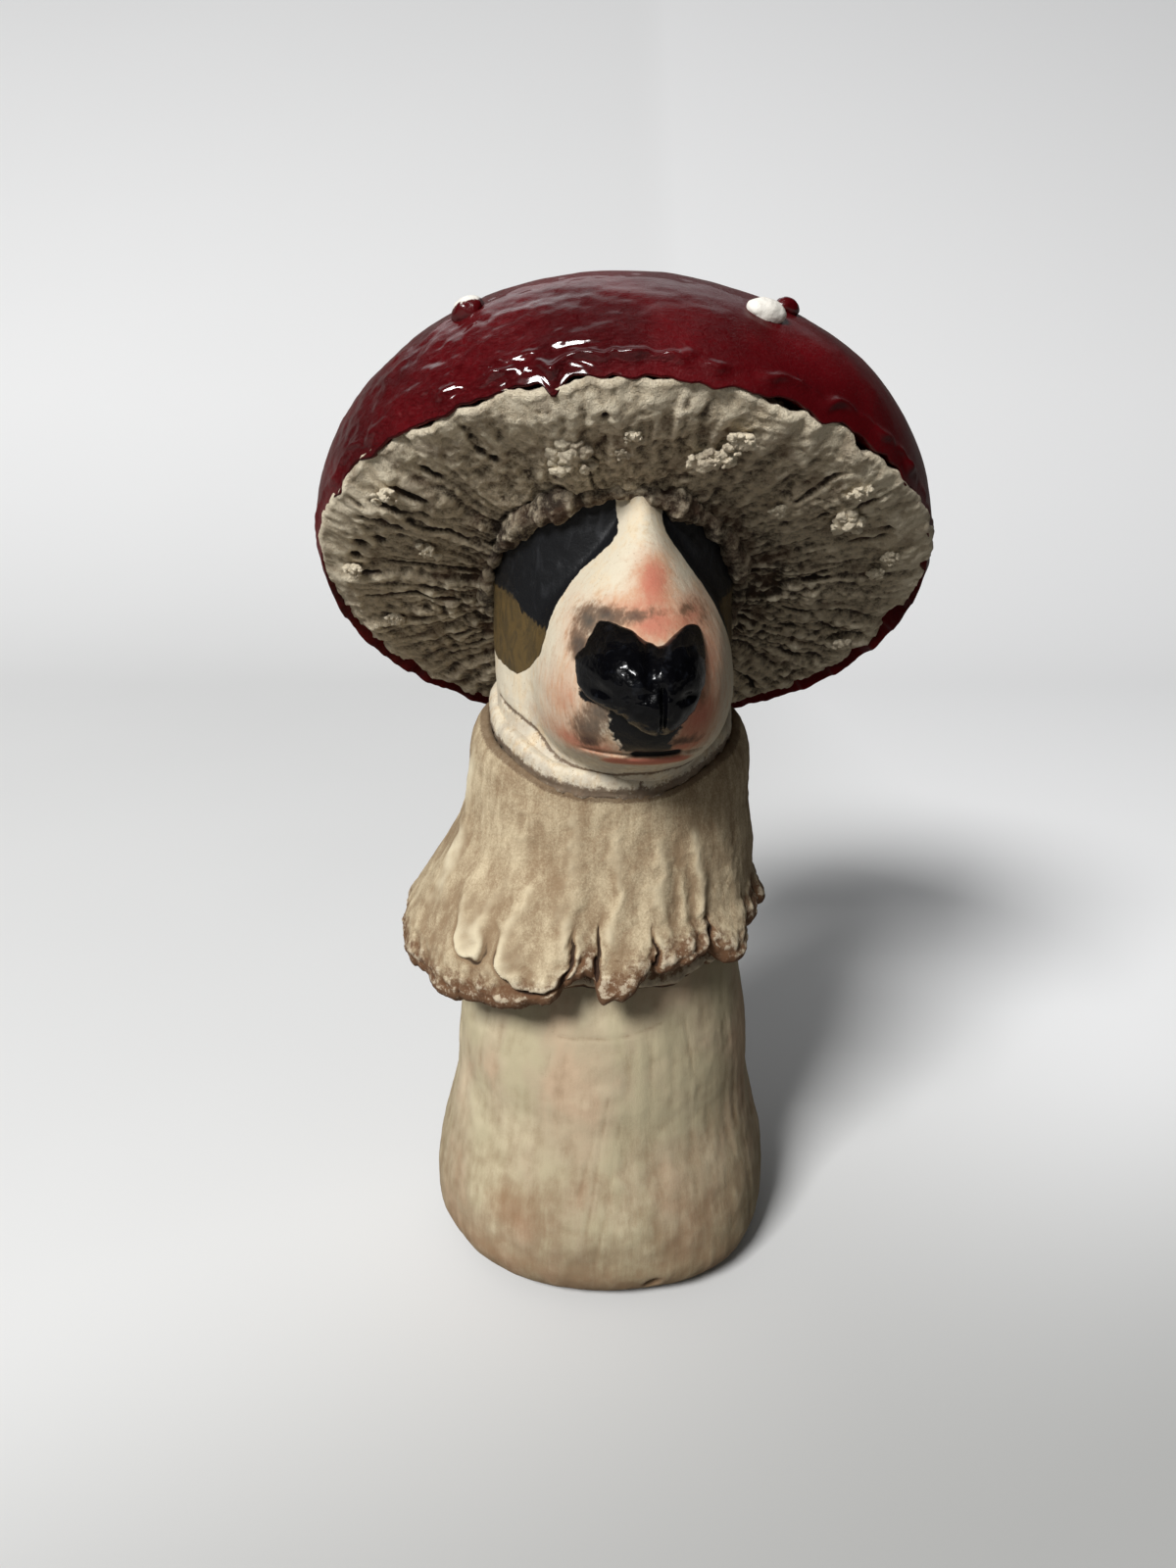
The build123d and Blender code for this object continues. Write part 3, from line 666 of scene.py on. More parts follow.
def underlayer_rows(shape):
    """Torn ring inside the skirt: outer and inner rings joined by a ragged lower edge."""
    angles = np.linspace(0, 2 * np.pi, 420, endpoint=False)[None, :]
    around_ring = around(angles, 30.0, 0.0)
    tear = rough(around_ring, 7, 3, 41)
    low = 71.4 + 1.3 * tear + 1.2 * np.sin(angles) - 2.4 * bump_at(angle_from(angles, radians(30.0)), 0.14)
    down = np.linspace(0, 1, 46)[:, None]
    heights = 90 - down * (90 - low)
    growth = np.clip((92 - heights) / 15, 0, 1.35)
    radii = 24.6 + 4.9 * growth + 0.6 * rough(around(angles, 30.0, heights), 4, 3, 43)
    radii = radii - 1.4 * smooth_step(down, 0.93, 1.0)
    outer = around(angles, radii, heights)
    outer[..., 0] -= 2.5 * growth
    inner = around(angles, radii - 2.0 * smooth_step(down, 1.1, 0.8), heights)[::-1]
    inner[..., 0] -= (2.5 * growth)[::-1]
    rows = np.concatenate((outer, inner))
    # The inner wall carries a fixed hollow value that darkens it: painted shade behind the skirt.
    hollow = np.concatenate((sunk(radii, 3) * 3, np.full(inner.shape[:2], 0.6)))
    flat = np.zeros(rows.shape[:2])
    return rows, {"hollow": hollow, "low": flat + 0.8, "seam": flat, "worn": flat}


MUZZLE_SECTIONS = (
    (-4.0, 0.50, 0.28),
    (0.0, 0.62, 0.35),
    (2.2, 0.69, 0.42),
    (4.0, 0.76, 0.50),
    (6.0, 0.83, 0.63),
    (8.5, 0.90, 0.77),
    (11.0, 0.94, 0.87),
    (15.0, 0.98, 0.96),
    (23.0, 0.95, 1.00),
    (31.4, 0.77, 0.84),
    (37.0, 0.55, 0.68),
    (41.5, 0.36, 0.52),
    (47.0, 0.20, 0.33),
    (56.0, 0.16, 0.24),
)


def muzzle_section(shape, heights):
    """Half width and reach of the muzzle's level ellipse at each height over its base."""
    rise = heights - 111.0
    width = through([(row[0], row[1]) for row in MUZZLE_SECTIONS], rise) * shape.muzzle_half_width
    reach = through([(row[0], row[2]) for row in MUZZLE_SECTIONS], rise) * shape.muzzle_reach
    return width, reach


def muzzle_radius(shape, angles, heights):
    """Distance from the head's axis to the far side of the level ellipse ((x-s)/a)² + ((y+15)/b)² = 1, turned
    by 4 degrees: the larger root of its quadratic, or 0 where the direction misses it."""
    width, reach = muzzle_section(shape, heights)
    turned = angles - radians(4.0)
    across, along = np.sin(turned), -np.cos(turned)
    shift_x, shift_y = 2.2 * np.cos(radians(4.0)), -2.2 * np.sin(radians(4.0))
    a = (across / width) ** 2 + (along / reach) ** 2
    b = 2 * (-across * shift_x / width**2 + along * (15.0 - shift_y) / reach**2)
    c = (shift_x / width) ** 2 + ((15.0 - shift_y) / reach) ** 2 - 1
    root = np.sqrt(np.clip(b * b - 4 * a * c, 0, None))
    return np.where(b * b > 4 * a * c, (root - b) / (2 * a), 0)


def head_rows(shape):
    """Head and muzzle: rings round the leaning axis, radius = smooth maximum of the column's, the muzzle's and
    the neck's, up to the tilted gill plate, with the mouth's groove, the lips and noise."""
    around_turn = np.linspace(0, 2 * np.pi, 460, endpoint=False)
    angles = (around_turn - 0.45 * np.sin(around_turn))[None, :]
    tilt = np.tan(shape.cap_tilt)
    brow = 22.0 + 3.5 * bump_at(angle_from(angles, 0), 0.35)
    top = shape.rim_height + tilt * brow * np.cos(angles) + 2.5
    climb = np.linspace(0, 1, 214)[:, None]
    heights = 103.0 + climb * (top - 103.0)
    column = np.full_like(heights, shape.head_radius) - 0.1
    neck = (neck_radius(angles) - 0.7 - column) * smooth_step(heights, 121, 112) + column
    radii = wider(column, muzzle_radius(shape, angles, heights), 2.6)
    radii = wider(radii, neck, 1.2) - 0.25
    ring = around(angles, radii, heights)
    relief = 0.30 * rough(ring, 11, 2, 51) + 0.09 * rough(ring, 2.5, 3, 55)
    across = radii * np.sin(angles - radians(4.0)) - 2.2
    in_front = smooth_step(np.cos(angles), 0.3, 0.6)
    level = 118.5 + 0.105 * (radii * np.cos(angles) - 15.0)
    thin = bump_at(heights - level, 0.28) * smooth_step(np.abs(across - 0.2), 11.5, 9.0)
    open_mouth = bump_at(heights - level, 0.80) * smooth_step(np.abs(across - 1.8), 5.8, 3.4)
    mouth = np.maximum(0.55 * thin, open_mouth) * in_front
    relief -= 1.6 * mouth
    lip = bump_at(heights - level + 1.5, 1.05) * smooth_step(np.abs(across - 0.5), 9.5, 5.5) * in_front
    relief += 0.55 * lip
    crease_level = neck_seam(angles) + 5.0 + 2.6 * smooth_step(-np.degrees(angles - 2 * np.pi * (angles > np.pi)), 12, 50)
    crease = bump_at(heights - crease_level + 0.4 * rough(ring, 4, 2, 59), 0.50) * smooth_step(np.cos(angles), 0.1, 0.5)
    relief -= 0.35 * crease * (1 + rough(ring, 3, 2, 57))
    wall = around(angles, radii + relief, heights)
    pink, smudge, ink = (spot_field(spots, ring[..., 0], heights) * in_front for spots in (PINK_SPOTS, SMUDGE_SPOTS, INK_SPOTS))
    fields = {
        "mouth": mouth,
        "patch": head_patch(angles, heights),
        "cheek": head_cheek(angles, heights),
        "seam": crease * 0.95,
        "pink": np.maximum(pink, 1.2 * lip),
        "smudge": smudge,
        "ink": ink,
    }
    return wall, fields


def spot_field(spots, across, heights):
    """Soft union of several spots on the front, each strength x exp(-((x-x0)/rx)² - ((z-z0)/rz)²)."""
    total = np.zeros(np.broadcast(across, heights).shape)
    for x, z, radius_x, radius_z, strength in spots:
        spot = strength * np.exp(-(((across - x) / radius_x) ** 2) - ((heights - z) / radius_z) ** 2)
        total = total + spot * (1 - np.minimum(total, 1))
    return total

PINK_SPOTS = (
    (5.5, 148.5, 3.6, 4.6, 1.0), (5.5, 142.5, 5.0, 3.4, 0.9), (-0.5, 144.5, 4.5, 2.6, 0.55), (11.5, 143.5, 3.6, 3.4, 0.7),
    (14.5, 137.0, 3.6, 7.0, 0.7), (13.0, 128.0, 4.5, 5.5, 0.95), (-7.0, 139.0, 3.0, 6.0, 0.5),
    (-8.5, 129.0, 5.0, 6.0, 0.62), (-5.0, 122.0, 8.0, 3.0, 0.85), (11.0, 123.0, 4.0, 2.6, 0.85),
)

SMUDGE_SPOTS = (
    (-6.2, 138.2, 1.8, 3.0, 1.3), (-4.9, 141.9, 2.0, 1.8, 1.3), (-2.0, 143.4, 2.8, 1.3, 1.3), (2.2, 143.6, 3.0, 1.2, 1.0),
    (5.6, 144.6, 1.8, 0.9, 0.65), (11.0, 144.3, 2.4, 1.2, 0.85), (14.0, 142.6, 1.2, 1.8, 0.60),
    (-4.4, 125.6, 3.4, 3.0, 1.10), (-4.4, 123.2, 1.8, 1.4, 1.6), (-3.0, 129.2, 2.6, 2.6, 1.15),
    (11.0, 124.0, 3.6, 1.0, 1.0), (13.6, 131.5, 0.9, 4.0, 0.45),
)

INK_SPOTS = (
    (4.4, 125.0, 4.4, 2.0, 1.4), (5.0, 122.8, 4.6, 1.1, 1.2), (7.5, 127.5, 3.0, 2.2, 1.2), (1.5, 127.5, 2.6, 2.4, 1.2),
    (3.5, 131.0, 6.0, 4.0, 1.2), (-4.6, 131.6, 2.4, 1.6, 0.9),
)


BLAZE_EDGES = (
    (108.0, -150.0, 150.0),
    (125.5, -110.0, 110.0),
    (127.1, -52.0, 62.0),
    (129.4, -40.0, 50.0),
    (133.3, -28.6, 42.0),
    (136.9, -26.1, 38.0),
    (139.8, -25.7, 36.0),
    (142.9, -22.7, 34.0),
    (146.0, -18.5, 31.5),
    (148.1, -14.3, 28.0),
    (150.6, -7.5, 24.5),
    (153.0, -2.2, 20.5),
    (154.4, -0.4, 18.2),
    (155.9, 0.0, 17.6),
    (157.9, -1.0, 19.0),
    (168.0, -2.0, 20.0),
)


def head_patch(angles, heights):
    """Millimetres inside the dark patches: past the blaze's edge on either side and above their lower line."""
    turned = np.degrees(angle_from(angles, 0)) + np.zeros_like(heights)
    left = np.interp(heights, [row[0] for row in BLAZE_EDGES], [row[1] for row in BLAZE_EDGES])
    right = np.interp(heights, [row[0] for row in BLAZE_EDGES], [row[2] for row in BLAZE_EDGES])
    outside = np.maximum(left - turned, turned - right) * 0.42
    above = heights - (127.0 + 0.05 * np.clip(np.abs(turned) - 45, 0, 60))
    return np.minimum(outside, above)


def head_cheek(angles, heights):
    """Millimetres inside the tan cheeks: below a line that climbs towards the back."""
    turned = np.abs(np.degrees(angle_from(angles, 0))) + np.zeros_like(heights)
    line = ((0, 137.0), (30, 137.6), (41, 137.6), (46, 139.6), (50, 140.6), (64, 141.6), (80, 142.6), (100, 139.0),
            (130, 133.0), (180, 128.0))
    return np.interp(turned, [row[0] for row in line], [row[1] for row in line]) - heights


def band_rows(shape):
    """Slip band round the neck: a ring whose section is a flattened bead, set between the seam of the skirt and
    the crease under the chin, with crumbs along its lower edge."""
    angles = np.linspace(0, 2 * np.pi, 460, endpoint=False)[None, :]
    section = np.linspace(0, 2 * np.pi, 44, endpoint=False)[:, None]
    seam = neck_seam(angles)
    flat = np.sign(np.cos(section)) * np.abs(np.cos(section)) ** 0.5
    radii = neck_radius(angles) - 2.0 + 2.3 * flat
    heights = seam + 2.1 + 2.7 * np.sin(section)
    ring = around(angles, radii, heights)
    edge = bump_at(heights - seam + 0.2, 1.0)
    relief = 0.26 * rough(ring, 5, 4, 61) + 0.45 * edge * rough(ring, 1.3, 3, 63)
    groove = bump_at(heights - seam - 0.9, 0.35) * (0.5 + 0.5 * rough(ring, 9, 1, 65))
    relief -= 0.35 * groove
    crack = bump_at(np.degrees(angle_from(angles, radians(10.5))) * 0.48, 0.35) * smooth_step(heights, seam - 0.5, seam + 0.5)
    wall = around(angles, radii + relief, heights + 0.25 * rough(ring, 7, 2, 67))
    seam_share = np.maximum(bump_at(heights - seam - 1.0, 1.5), 0.9 * groove)
    seam_share = np.maximum(seam_share, 0.9 * crack)
    none = np.zeros_like(heights)
    fields = {"mouth": none, "patch": none - 9, "cheek": none, "seam": seam_share, "pink": none, "smudge": none, "ink": none}
    return wall, fields


NOSE_OUTLINE = (
    (9.6, 8.4), (7.2, 8.9), (5.2, 7.8), (3.5, 6.3), (1.75, 6.2), (0.0, 7.0), (-0.9, 7.9), (-2.7, 8.7), (-6.3, 9.1),
    (-7.8, 6.8), (-8.1, 4.9), (-9.9, 3.2), (-10.3, 1.1), (-9.7, -1.3), (-7.8, -2.7), (-5.4, -3.4), (-3.2, -4.4),
    (-0.6, -6.4), (2.4, -7.8), (4.4, -7.3), (6.7, -5.6), (8.3, -3.7), (9.2, -1.4), (10.3, 1.1), (10.2, 3.8), (10.3, 6.4),
)


def muzzle_front(shape, across, heights):
    """Y of the muzzle's front at a place across it: -15 - b sqrt(1 - (x/a)²), in the muzzle's turned frame."""
    width, reach = muzzle_section(shape, heights)
    return -15.0 - reach * np.sqrt(np.clip(1 - (across / width) ** 2, 0.02, 1))


def nose_rows(shape):
    """Nose pad: rings of a heart outline shrinking to its middle, proud of the muzzle by 3.2 sqrt(1 - share³),
    with two wings, two nostrils and a groove; the last rings close behind."""
    outline = np.array(NOSE_OUTLINE + NOSE_OUTLINE[:1])
    corner_angles = np.unwrap(np.arctan2(outline[:, 1], outline[:, 0]))
    reach = np.hypot(outline[:, 0], outline[:, 1])
    order = np.argsort(corner_angles)
    angles = np.linspace(corner_angles.min(), corner_angles.min() + 2 * np.pi, 220, endpoint=False)[None, :]
    edge = np.interp(angles[0], corner_angles[order], reach[order])[None, :]
    for _ in range(9):
        edge = (np.roll(edge, 1, axis=1) + edge + np.roll(edge, -1, axis=1)) / 3
    circle = np.stack((np.cos(angles), np.sin(angles), 0 * angles), axis=-1)
    edge = edge + 0.22 * rough(circle * 9.0, 1.6, 3, 69)
    share = np.concatenate((np.linspace(0.03, 0.9, 64), np.linspace(0.915, 1.0, 16)))[:, None]
    across = share * edge * np.cos(angles)
    up = share * edge * np.sin(angles)
    proud = 2.7 * np.sqrt(np.clip(1 - share**3, 0, 1)) + 0.25
    proud = proud + 1.8 * bump_at(np.hypot(across + 5.0, up - 4.4), 3.4) + 1.0 * bump_at(np.hypot(across - 6.6, up - 4.6), 3.0)
    proud -= 1.2 * bump_at(np.hypot((across + 6.6) / 1.5, up + 0.4), 1.0)
    proud -= 1.2 * bump_at(np.hypot((across - 7.0) / 1.4, up + 0.9), 0.9)
    groove = bump_at(across - 2.6 + 0.06 * up, 0.5) * smooth_step(up, 1.8, -0.2) * smooth_step(up, -8.4, -6.6)
    middle = bump_at(across - 0.8, 1.2) * smooth_step(up, -2.0, 3.0)
    proud -= 1.2 * groove + 0.9 * middle
    flat = np.stack(np.broadcast_arrays(across, up, 0 * up), axis=-1)
    proud += (0.30 * rough(flat, 3.0, 2, 71) + 0.10 * rough(flat, 1.1, 2, 73)) * (1 - share**6)
    x = across - 1.5
    z = up + 133.7
    front = muzzle_front(shape, x, z)
    surface = np.stack(np.broadcast_arrays(x, front - proud, z), axis=-1)
    back = np.stack(np.broadcast_arrays(x[-1:] * 0.9, front[-1:] + 2.5, z[-1:] * 0.9 + 13.37), axis=-1)
    rows = np.concatenate((surface, back))
    c, s = np.cos(radians(4.0)), np.sin(radians(4.0))
    return rows @ np.array(((c, -s, 0), (s, c, 0), (0, 0, 1))).T + np.array((2.2, 0, 0))


def dome_profile(shape):
    """Outline of the dome from its crown to its rim, along an arc of the crown, one of the side, and a small
    bead, then under the lip: radius, height and the outward normal at each row."""
    across = shape.cap_radius - shape.cap_side
    up = shape.cap_rise - shape.cap_side
    drop = (across**2 - up**2) / (2 * up)
    meeting = np.arctan2(drop, across)
    under = np.arcsin(shape.cap_belly / shape.cap_side)
    crown = np.linspace(np.pi / 2 - 0.012, meeting, 62)[:-1]
    side = np.linspace(meeting, -under, 76)
    crown_radius = shape.cap_rise + drop
    radii = np.concatenate((crown_radius * np.cos(crown), across + shape.cap_side * np.cos(side)))
    heights = shape.cap_belly + np.concatenate((crown_radius * np.sin(crown) - drop, shape.cap_side * np.sin(side)))
    normals = np.concatenate((crown, side))
    return radii[:, None], heights[:, None], normals[:, None]


DRIPS = (
    (-102.8, 1.5, 2.4, 1.5),
    (-96.0, 2.6, 0.5, 1.0),
    (-90.5, 2.2, 1.3, 1.3),
    (-84.5, 2.4, 0.5, 1.0),
    (-78.0, 1.8, 0.9, 1.0),
    (-69.0, 2.0, 0.4, 0.7),
    (-58.0, 2.4, 1.0, 0.9),
    (-46.0, 2.0, 0.5, 0.7),
    (-36.0, 1.6, 1.2, 0.9),
    (-112.0, 2.4, 0.5, 0.9),
    (-121.0, 2.2, 0.9, 0.9),
    (-137.0, 2.5, 0.5, 0.7),
    (-150.0, 2.0, 0.9, 0.8),
)


def dome_rows(shape):
    """Painted dome: the profile turned round the cap's axis and moved along its normals by broad unevenness,
    wrinkles, and a bead of paint that swells into drips at the rim, then turned in under the lip."""
    radii, heights, normals = dome_profile(shape)
    angles = np.linspace(0, 2 * np.pi, 600, endpoint=False)[None, :]
    place = np.stack(np.broadcast_arrays(radii * np.cos(angles), radii * np.sin(angles), heights), axis=-1)
    along = np.linspace(0, 1, len(radii))[:, None]
    from_rim = heights - heights[-1]
    wrinkled = bump_at(np.hypot(np.degrees(angle_from(angles, radians(-118.0))) * 0.44, from_rim - 8.0), 16.0)
    relief = 0.40 * rough(place, 26, 2, 81) + 0.08 * rough(place, 6, 3, 85)
    relief += 0.36 * wrinkled * rough(place * np.array((0.6, 1, 1)), 2.3, 3, 87)
    drip = np.zeros_like(angles)
    fall = np.zeros_like(angles)
    for degrees, spread, lower, swell in DRIPS:
        bump = bump_at(np.degrees(angle_from(angles, np.radians(degrees))), spread)
        drip = drip + swell * bump
        fall = fall + lower * bump
    ring_noise = rough(np.stack((60 * np.cos(angles), 60 * np.sin(angles), 0 * angles), axis=-1), 5, 3, 91)
    front = smooth_step(np.sin(angles), 0.3, -0.5)
    bead = (0.30 + 0.45 * ring_noise) * (0.3 + 0.7 * front) + drip * 0.7
    lift = 2.0 * front + 0.6 * ring_noise + 0.5
    relief = relief + bead * bump_at(from_rim - 1.0 - lift, 1.2) * smooth_step(along, 0.6, 0.9)
    relief = relief + 0.8 * bump_at(np.hypot(np.degrees(angle_from(angles, np.radians(-82.5))), from_rim - 5.0), 1.3)
    up = (lift - fall) * smooth_step(from_rim, 9.0, 0.0) * smooth_step(along, 0.5, 0.95)
    out = radii + relief * np.cos(normals) - up * np.sin(normals) * 0.9
    rise = heights + relief * np.sin(normals) + up
    dome = np.stack(np.broadcast_arrays(out * np.cos(angles), out * np.sin(angles), rise), axis=-1)
    turn_in = np.linspace(0.15, 1, 14)[:, None]
    lip_out = out[-1:] - 0.9 * (1 - np.cos(turn_in * np.pi / 2)) - 3.0 * turn_in**2
    lip_rise = rise[-1:] - 0.7 * np.sin(turn_in * np.pi) * (1 - turn_in) + 3.0 * turn_in**2
    lip = np.stack(np.broadcast_arrays(lip_out * np.cos(angles), lip_out * np.sin(angles), lip_rise), axis=-1)
    shrink = np.linspace(0.95, 0.04, 12)[:, None, None]
    roof = lip[-1:] * shrink + np.array((0, 0, 4.5)) * (1 - shrink)
    rows = np.concatenate((dome, lip, roof))
    under = np.concatenate((0 * out + 0 * angles, np.broadcast_to(turn_in * 0.4, lip.shape[:2]), np.ones(roof.shape[:2])))
    rippled = np.zeros(rows.shape[:2])
    rippled[: len(dome)] = wrinkled
    return rows, {"under": under, "wrinkled": rippled}


# Plate's upper rows: share of the rim's radius at the back, what the front adds, share of its level, height above
PLATE_TOP = (
    (0.992, 0.020, 1.0, 0.7),
    (0.978, 0.031, 1.0, 1.3),
    (0.955, 0.044, 0.6, 2.3),
    (0.5, 0.0, 0.0, 4.2),
    (0.1, 0.0, 0.0, 4.4),
)


def plate_rows(shape):
    """Gill plate: rings from the middle out to the rim and back above. Its underside carries wandering ridges
    that run outwards (noise squeezed round the axis), crumbs, pits and a lumpy edge that laps the rim."""
    angles = np.linspace(0, 2 * np.pi, 860, endpoint=False)[None, :]
    out = np.concatenate((np.linspace(8, 20, 4), np.linspace(21, 54.9, 106)))[:, None]
    circle = np.stack((np.cos(angles), np.sin(angles), 0 * angles), axis=-1)
    place = circle * out[..., None]
    wander = 0.030 * rough(place, 10, 2, 99)
    bent = np.stack((np.cos(angles + wander), np.sin(angles + wander), 0 * (angles + wander)), axis=-1)
    upward = np.array((0, 0, 1.0)) * out[..., None]
    coarse = rough(bent * 50.0 + upward * 0.10, 4.0, 2, 101)
    fine = rough(bent * 46.0 + upward * 0.14, 1.9, 2, 103)
    broad = rough(bent * 48.0 + upward * 0.12, 12.0, 2, 107)
    crumb = np.abs(rough(place, 3.6, 4, 111))
    patchy = smooth_step(rough(place, 15, 2, 117), -0.2, 0.6)
    strength = smooth_step(out, 20, 27)
    flank = 1 - 0.75 * bump_at(np.degrees(angle_from(angles, radians(-80.0))), 40.0)
    relief = strength * flank * (0.75 * coarse + 0.50 * fine) + 0.9 * strength * broad
    relief = relief + 0.9 * patchy * (crumb - 0.3) * (0.35 + 0.65 * flank)
    relief = relief + 0.26 * rough(place, 1.1, 3, 121) + 0.4 * rough(place, 7.0, 3, 123)
    # Share near the head: it roughens the relief, and the finish darkens it with wash and painted shade.
    inner = smooth_step(out, 36, 25)
    relief = relief + inner * 0.5 * rough(place, 2.4, 3, 127)
    flute = rough(bent * 50.0 + upward * 0.03, 2.4, 2, 133) * smooth_step(out, 36, 47)
    relief = relief + (1 - flank) * 0.9 * flute
    slit = smooth_step(rough(bent * 50.0 + upward * 0.22, 2.6, 2, 125), -0.58, -0.95) * flank
    relief = relief - 1.1 * slit
    for azimuth, radius, spread, deep in PLATE_PITS:
        centre = np.array((np.cos(np.radians(azimuth)), np.sin(np.radians(azimuth)), 0)) * radius
        relief = relief - deep * bump_at(np.linalg.norm(place - centre, axis=-1), spread)
    edge = smooth_step(out, 50.0, 54.9)
    lumps = rough(circle * 55.0, 4.5, 3, 131)
    relief = relief * (1 - 0.35 * edge)
    level = 0.3 - 0.85 * relief + (1.0 + 1.2 * lumps) * edge**2
    rear = smooth_step(np.sin(angles), -0.80, -0.35)
    back = smooth_step(np.sin(angles), -0.25, 0.15)
    reach = out + (0.1 + 1.0 * rear - 2.0 * back + 0.7 * lumps * (1 - 0.6 * back)) * edge**2
    under = np.stack(np.broadcast_arrays(reach * np.cos(angles), reach * np.sin(angles), level), axis=-1)
    above = []
    for share, spread, kept_level, height in PLATE_TOP:
        kept = share + spread * (1 - back)
        above.append(under[-1:] * np.stack((kept, kept, kept_level + 0 * kept), axis=-1) + np.array((0, 0, height)))
    rows = np.concatenate([under] + above)
    hollow = np.concatenate((sunk(relief, 3) * 1.6 + slit * 0.4, np.full((5, angles.shape[1]), -0.1)))
    # Pale rim band, wider in front: rubbed clay, and painted highlight where the rim catches the lamp.
    front = smooth_step(-np.sin(angles), 0.2, 0.9)
    pale = smooth_step(out, 47.0 - 7.0 * front, 54.5)
    edge_share = np.concatenate((pale, np.ones((5, angles.shape[1]))))
    inner_share = np.concatenate((np.broadcast_to(inner, under.shape[:2]), np.zeros((5, angles.shape[1]))))
    return rows, {"hollow": hollow, "edge": edge_share, "inner": inner_share}


PLATE_PITS = (
    (-163.5, 49.5, 1.1, 2.6),
    (-160.0, 46.5, 1.0, 1.8),
    (-168.0, 50.0, 0.9, 2.2),
    (-120.0, 44.0, 0.8, 1.4),
    (-95.0, 50.5, 0.7, 1.2),
    (-25.0, 50.0, 0.9, 1.4),
)


def joint_rows(shape):
    """Crumbly roll of clay in the corner of head and gills: a ring on the column where the tilted plate cuts it,
    with a round section whose radius follows noise."""
    angles = np.linspace(0, 2 * np.pi, 420, endpoint=False)[None, :]
    section = np.linspace(0, 2 * np.pi, 44, endpoint=False)[:, None]
    radius = shape.head_radius + 1.6
    ring = around(angles, radius, 0.0)
    lumps = rough(ring, 5.0, 3, 141)
    thick = 1.6 + 1.0 * lumps
    for degrees, spread, swell in ((-48, 12, 1.7), (-22, 7, 0.9), (14, 8, 0.5), (38, 6, 0.3), (66, 9, 1.2)):
        thick = thick + swell * bump_at(np.degrees(angle_from(angles, np.radians(degrees))), spread)
    radii = radius + thick * np.cos(section)
    rise = shape.rim_height + np.tan(shape.cap_tilt) * radius * np.cos(angles) - 0.4
    heights = rise + 1.15 * thick * np.sin(section)
    surface = around(angles, radii, heights)
    relief = 0.55 * rough(surface, 2.6, 3, 147) + 0.30 * np.abs(rough(surface, 1.3, 2, 149))
    radii = radii + relief * np.cos(section)
    heights = heights + relief * np.sin(section)
    return around(angles, radii, heights), sunk(relief, 3) * 1.4


CRUMBS = (
    (-103.5, 42.5, 3.0), (-74.5, 42.0, 2.1), (-71.0, 43.5, 1.7), (-69.5, 48.5, 1.9), (-34.0, 45.0, 2.4), (-41.5, 50.0, 1.5),
    (-90.0, 46.5, 1.2), (-92.0, 42.0, 1.0), (-17.0, 49.0, 1.5), (-158.0, 38.0, 1.7), (-143.0, 50.5, 1.9), (-12.0, 46.5, 1.3),
    (-48.0, 37.0, 1.3), (168.0, 45.0, 1.6), (20.0, 47.5, 1.4), (-171.0, 50.0, 1.6),
)


def crumb_lumps(shape):
    """Clusters of crumbs under the gills: each one big lump with smaller ones strewn round it by lattice numbers."""
    lumps = []
    for index, (azimuth, out, radius) in enumerate(CRUMBS):
        centre = np.array((np.cos(np.radians(azimuth)) * out, np.sin(np.radians(azimuth)) * out, -0.6))
        for part in range(15):
            spread = lattice_numbers(np.array([[index, part, 1], [index, part, 2], [index, part, 3]]), 5)
            size = radius * (0.80 if part == 0 else 0.34 + 0.20 * spread[2])
            offset = np.array((spread[0], spread[1], 0.40 * spread[2] - 0.30)) * radius * (0 if part == 0 else 1.0)
            rows = lump((size, size * 0.9, size * 0.72), 20 if part == 0 else 10, 11 * index + part, 0.42)
            lumps.append(on_cap(rows + centre + offset, shape))
    return lumps


WARTS = (
    ("wart_front_left", -118.0, 22.6, 2.9, 2.5, 2.4, 0.80),
    ("wart_front_right", -69.0, 17.5, 3.1, 2.1, 1.9, 1.9),
    ("wart_right_neighbour", -63.0, 30.0, 2.2, 1.5, 1.4, -0.6),
    ("wart_left_flank", -178.0, 34.0, 3.1, 2.7, 2.0, 1.5),
    ("wart_right_flank", -8.0, 40.0, 2.8, 2.6, 1.9, 1.5),
    ("wart_crown_left", -140.0, 62.0, 3.3, 2.9, 2.0, 1.7),
    ("wart_crown_right", 18.0, 70.0, 2.9, 2.5, 1.9, 1.5),
    ("wart_back_left", 128.0, 46.0, 3.0, 2.7, 1.9, 1.6),
    ("wart_back_right", 62.0, 34.0, 3.4, 2.9, 2.0, 1.7),
)


def on_dome(points, azimuth, rise, shape):
    """Points given over the dome's surface, whose X runs round the cap and Z along the normal, set at an azimuth
    and at the place where the normal rises by an angle."""
    across = shape.cap_radius - shape.cap_side
    up = shape.cap_rise - shape.cap_side
    drop = (across**2 - up**2) / (2 * up)
    meeting = np.arctan2(drop, across)
    turn_up, turn_round = np.radians(rise), np.radians(azimuth)
    out = across + shape.cap_side * np.cos(turn_up)
    height = shape.cap_belly + shape.cap_side * np.sin(turn_up)
    if turn_up > meeting:
        out = (shape.cap_rise + drop) * np.cos(turn_up)
        height = shape.cap_belly - drop + (shape.cap_rise + drop) * np.sin(turn_up)
    radial = np.array((np.cos(turn_round), np.sin(turn_round), 0))
    normal = radial * np.cos(turn_up) + np.array((0, 0, np.sin(turn_up)))
    round_way = np.array((-np.sin(turn_round), np.cos(turn_round), 0))
    upward = np.cross(normal, round_way)
    frame_rows = np.stack((round_way, upward, normal))
    return on_cap(points @ frame_rows + radial * out + np.array((0, 0, height)), shape)


NECK_SEAM = (
    (0, 108.4), (15, 108.6), (26, 109.5), (36, 110.9), (48, 112.3), (62, 113.2), (76, 114.6), (90, 116.2),
    (110, 116.4), (130, 114.8), (155, 113.2), (180, 112.8),
)


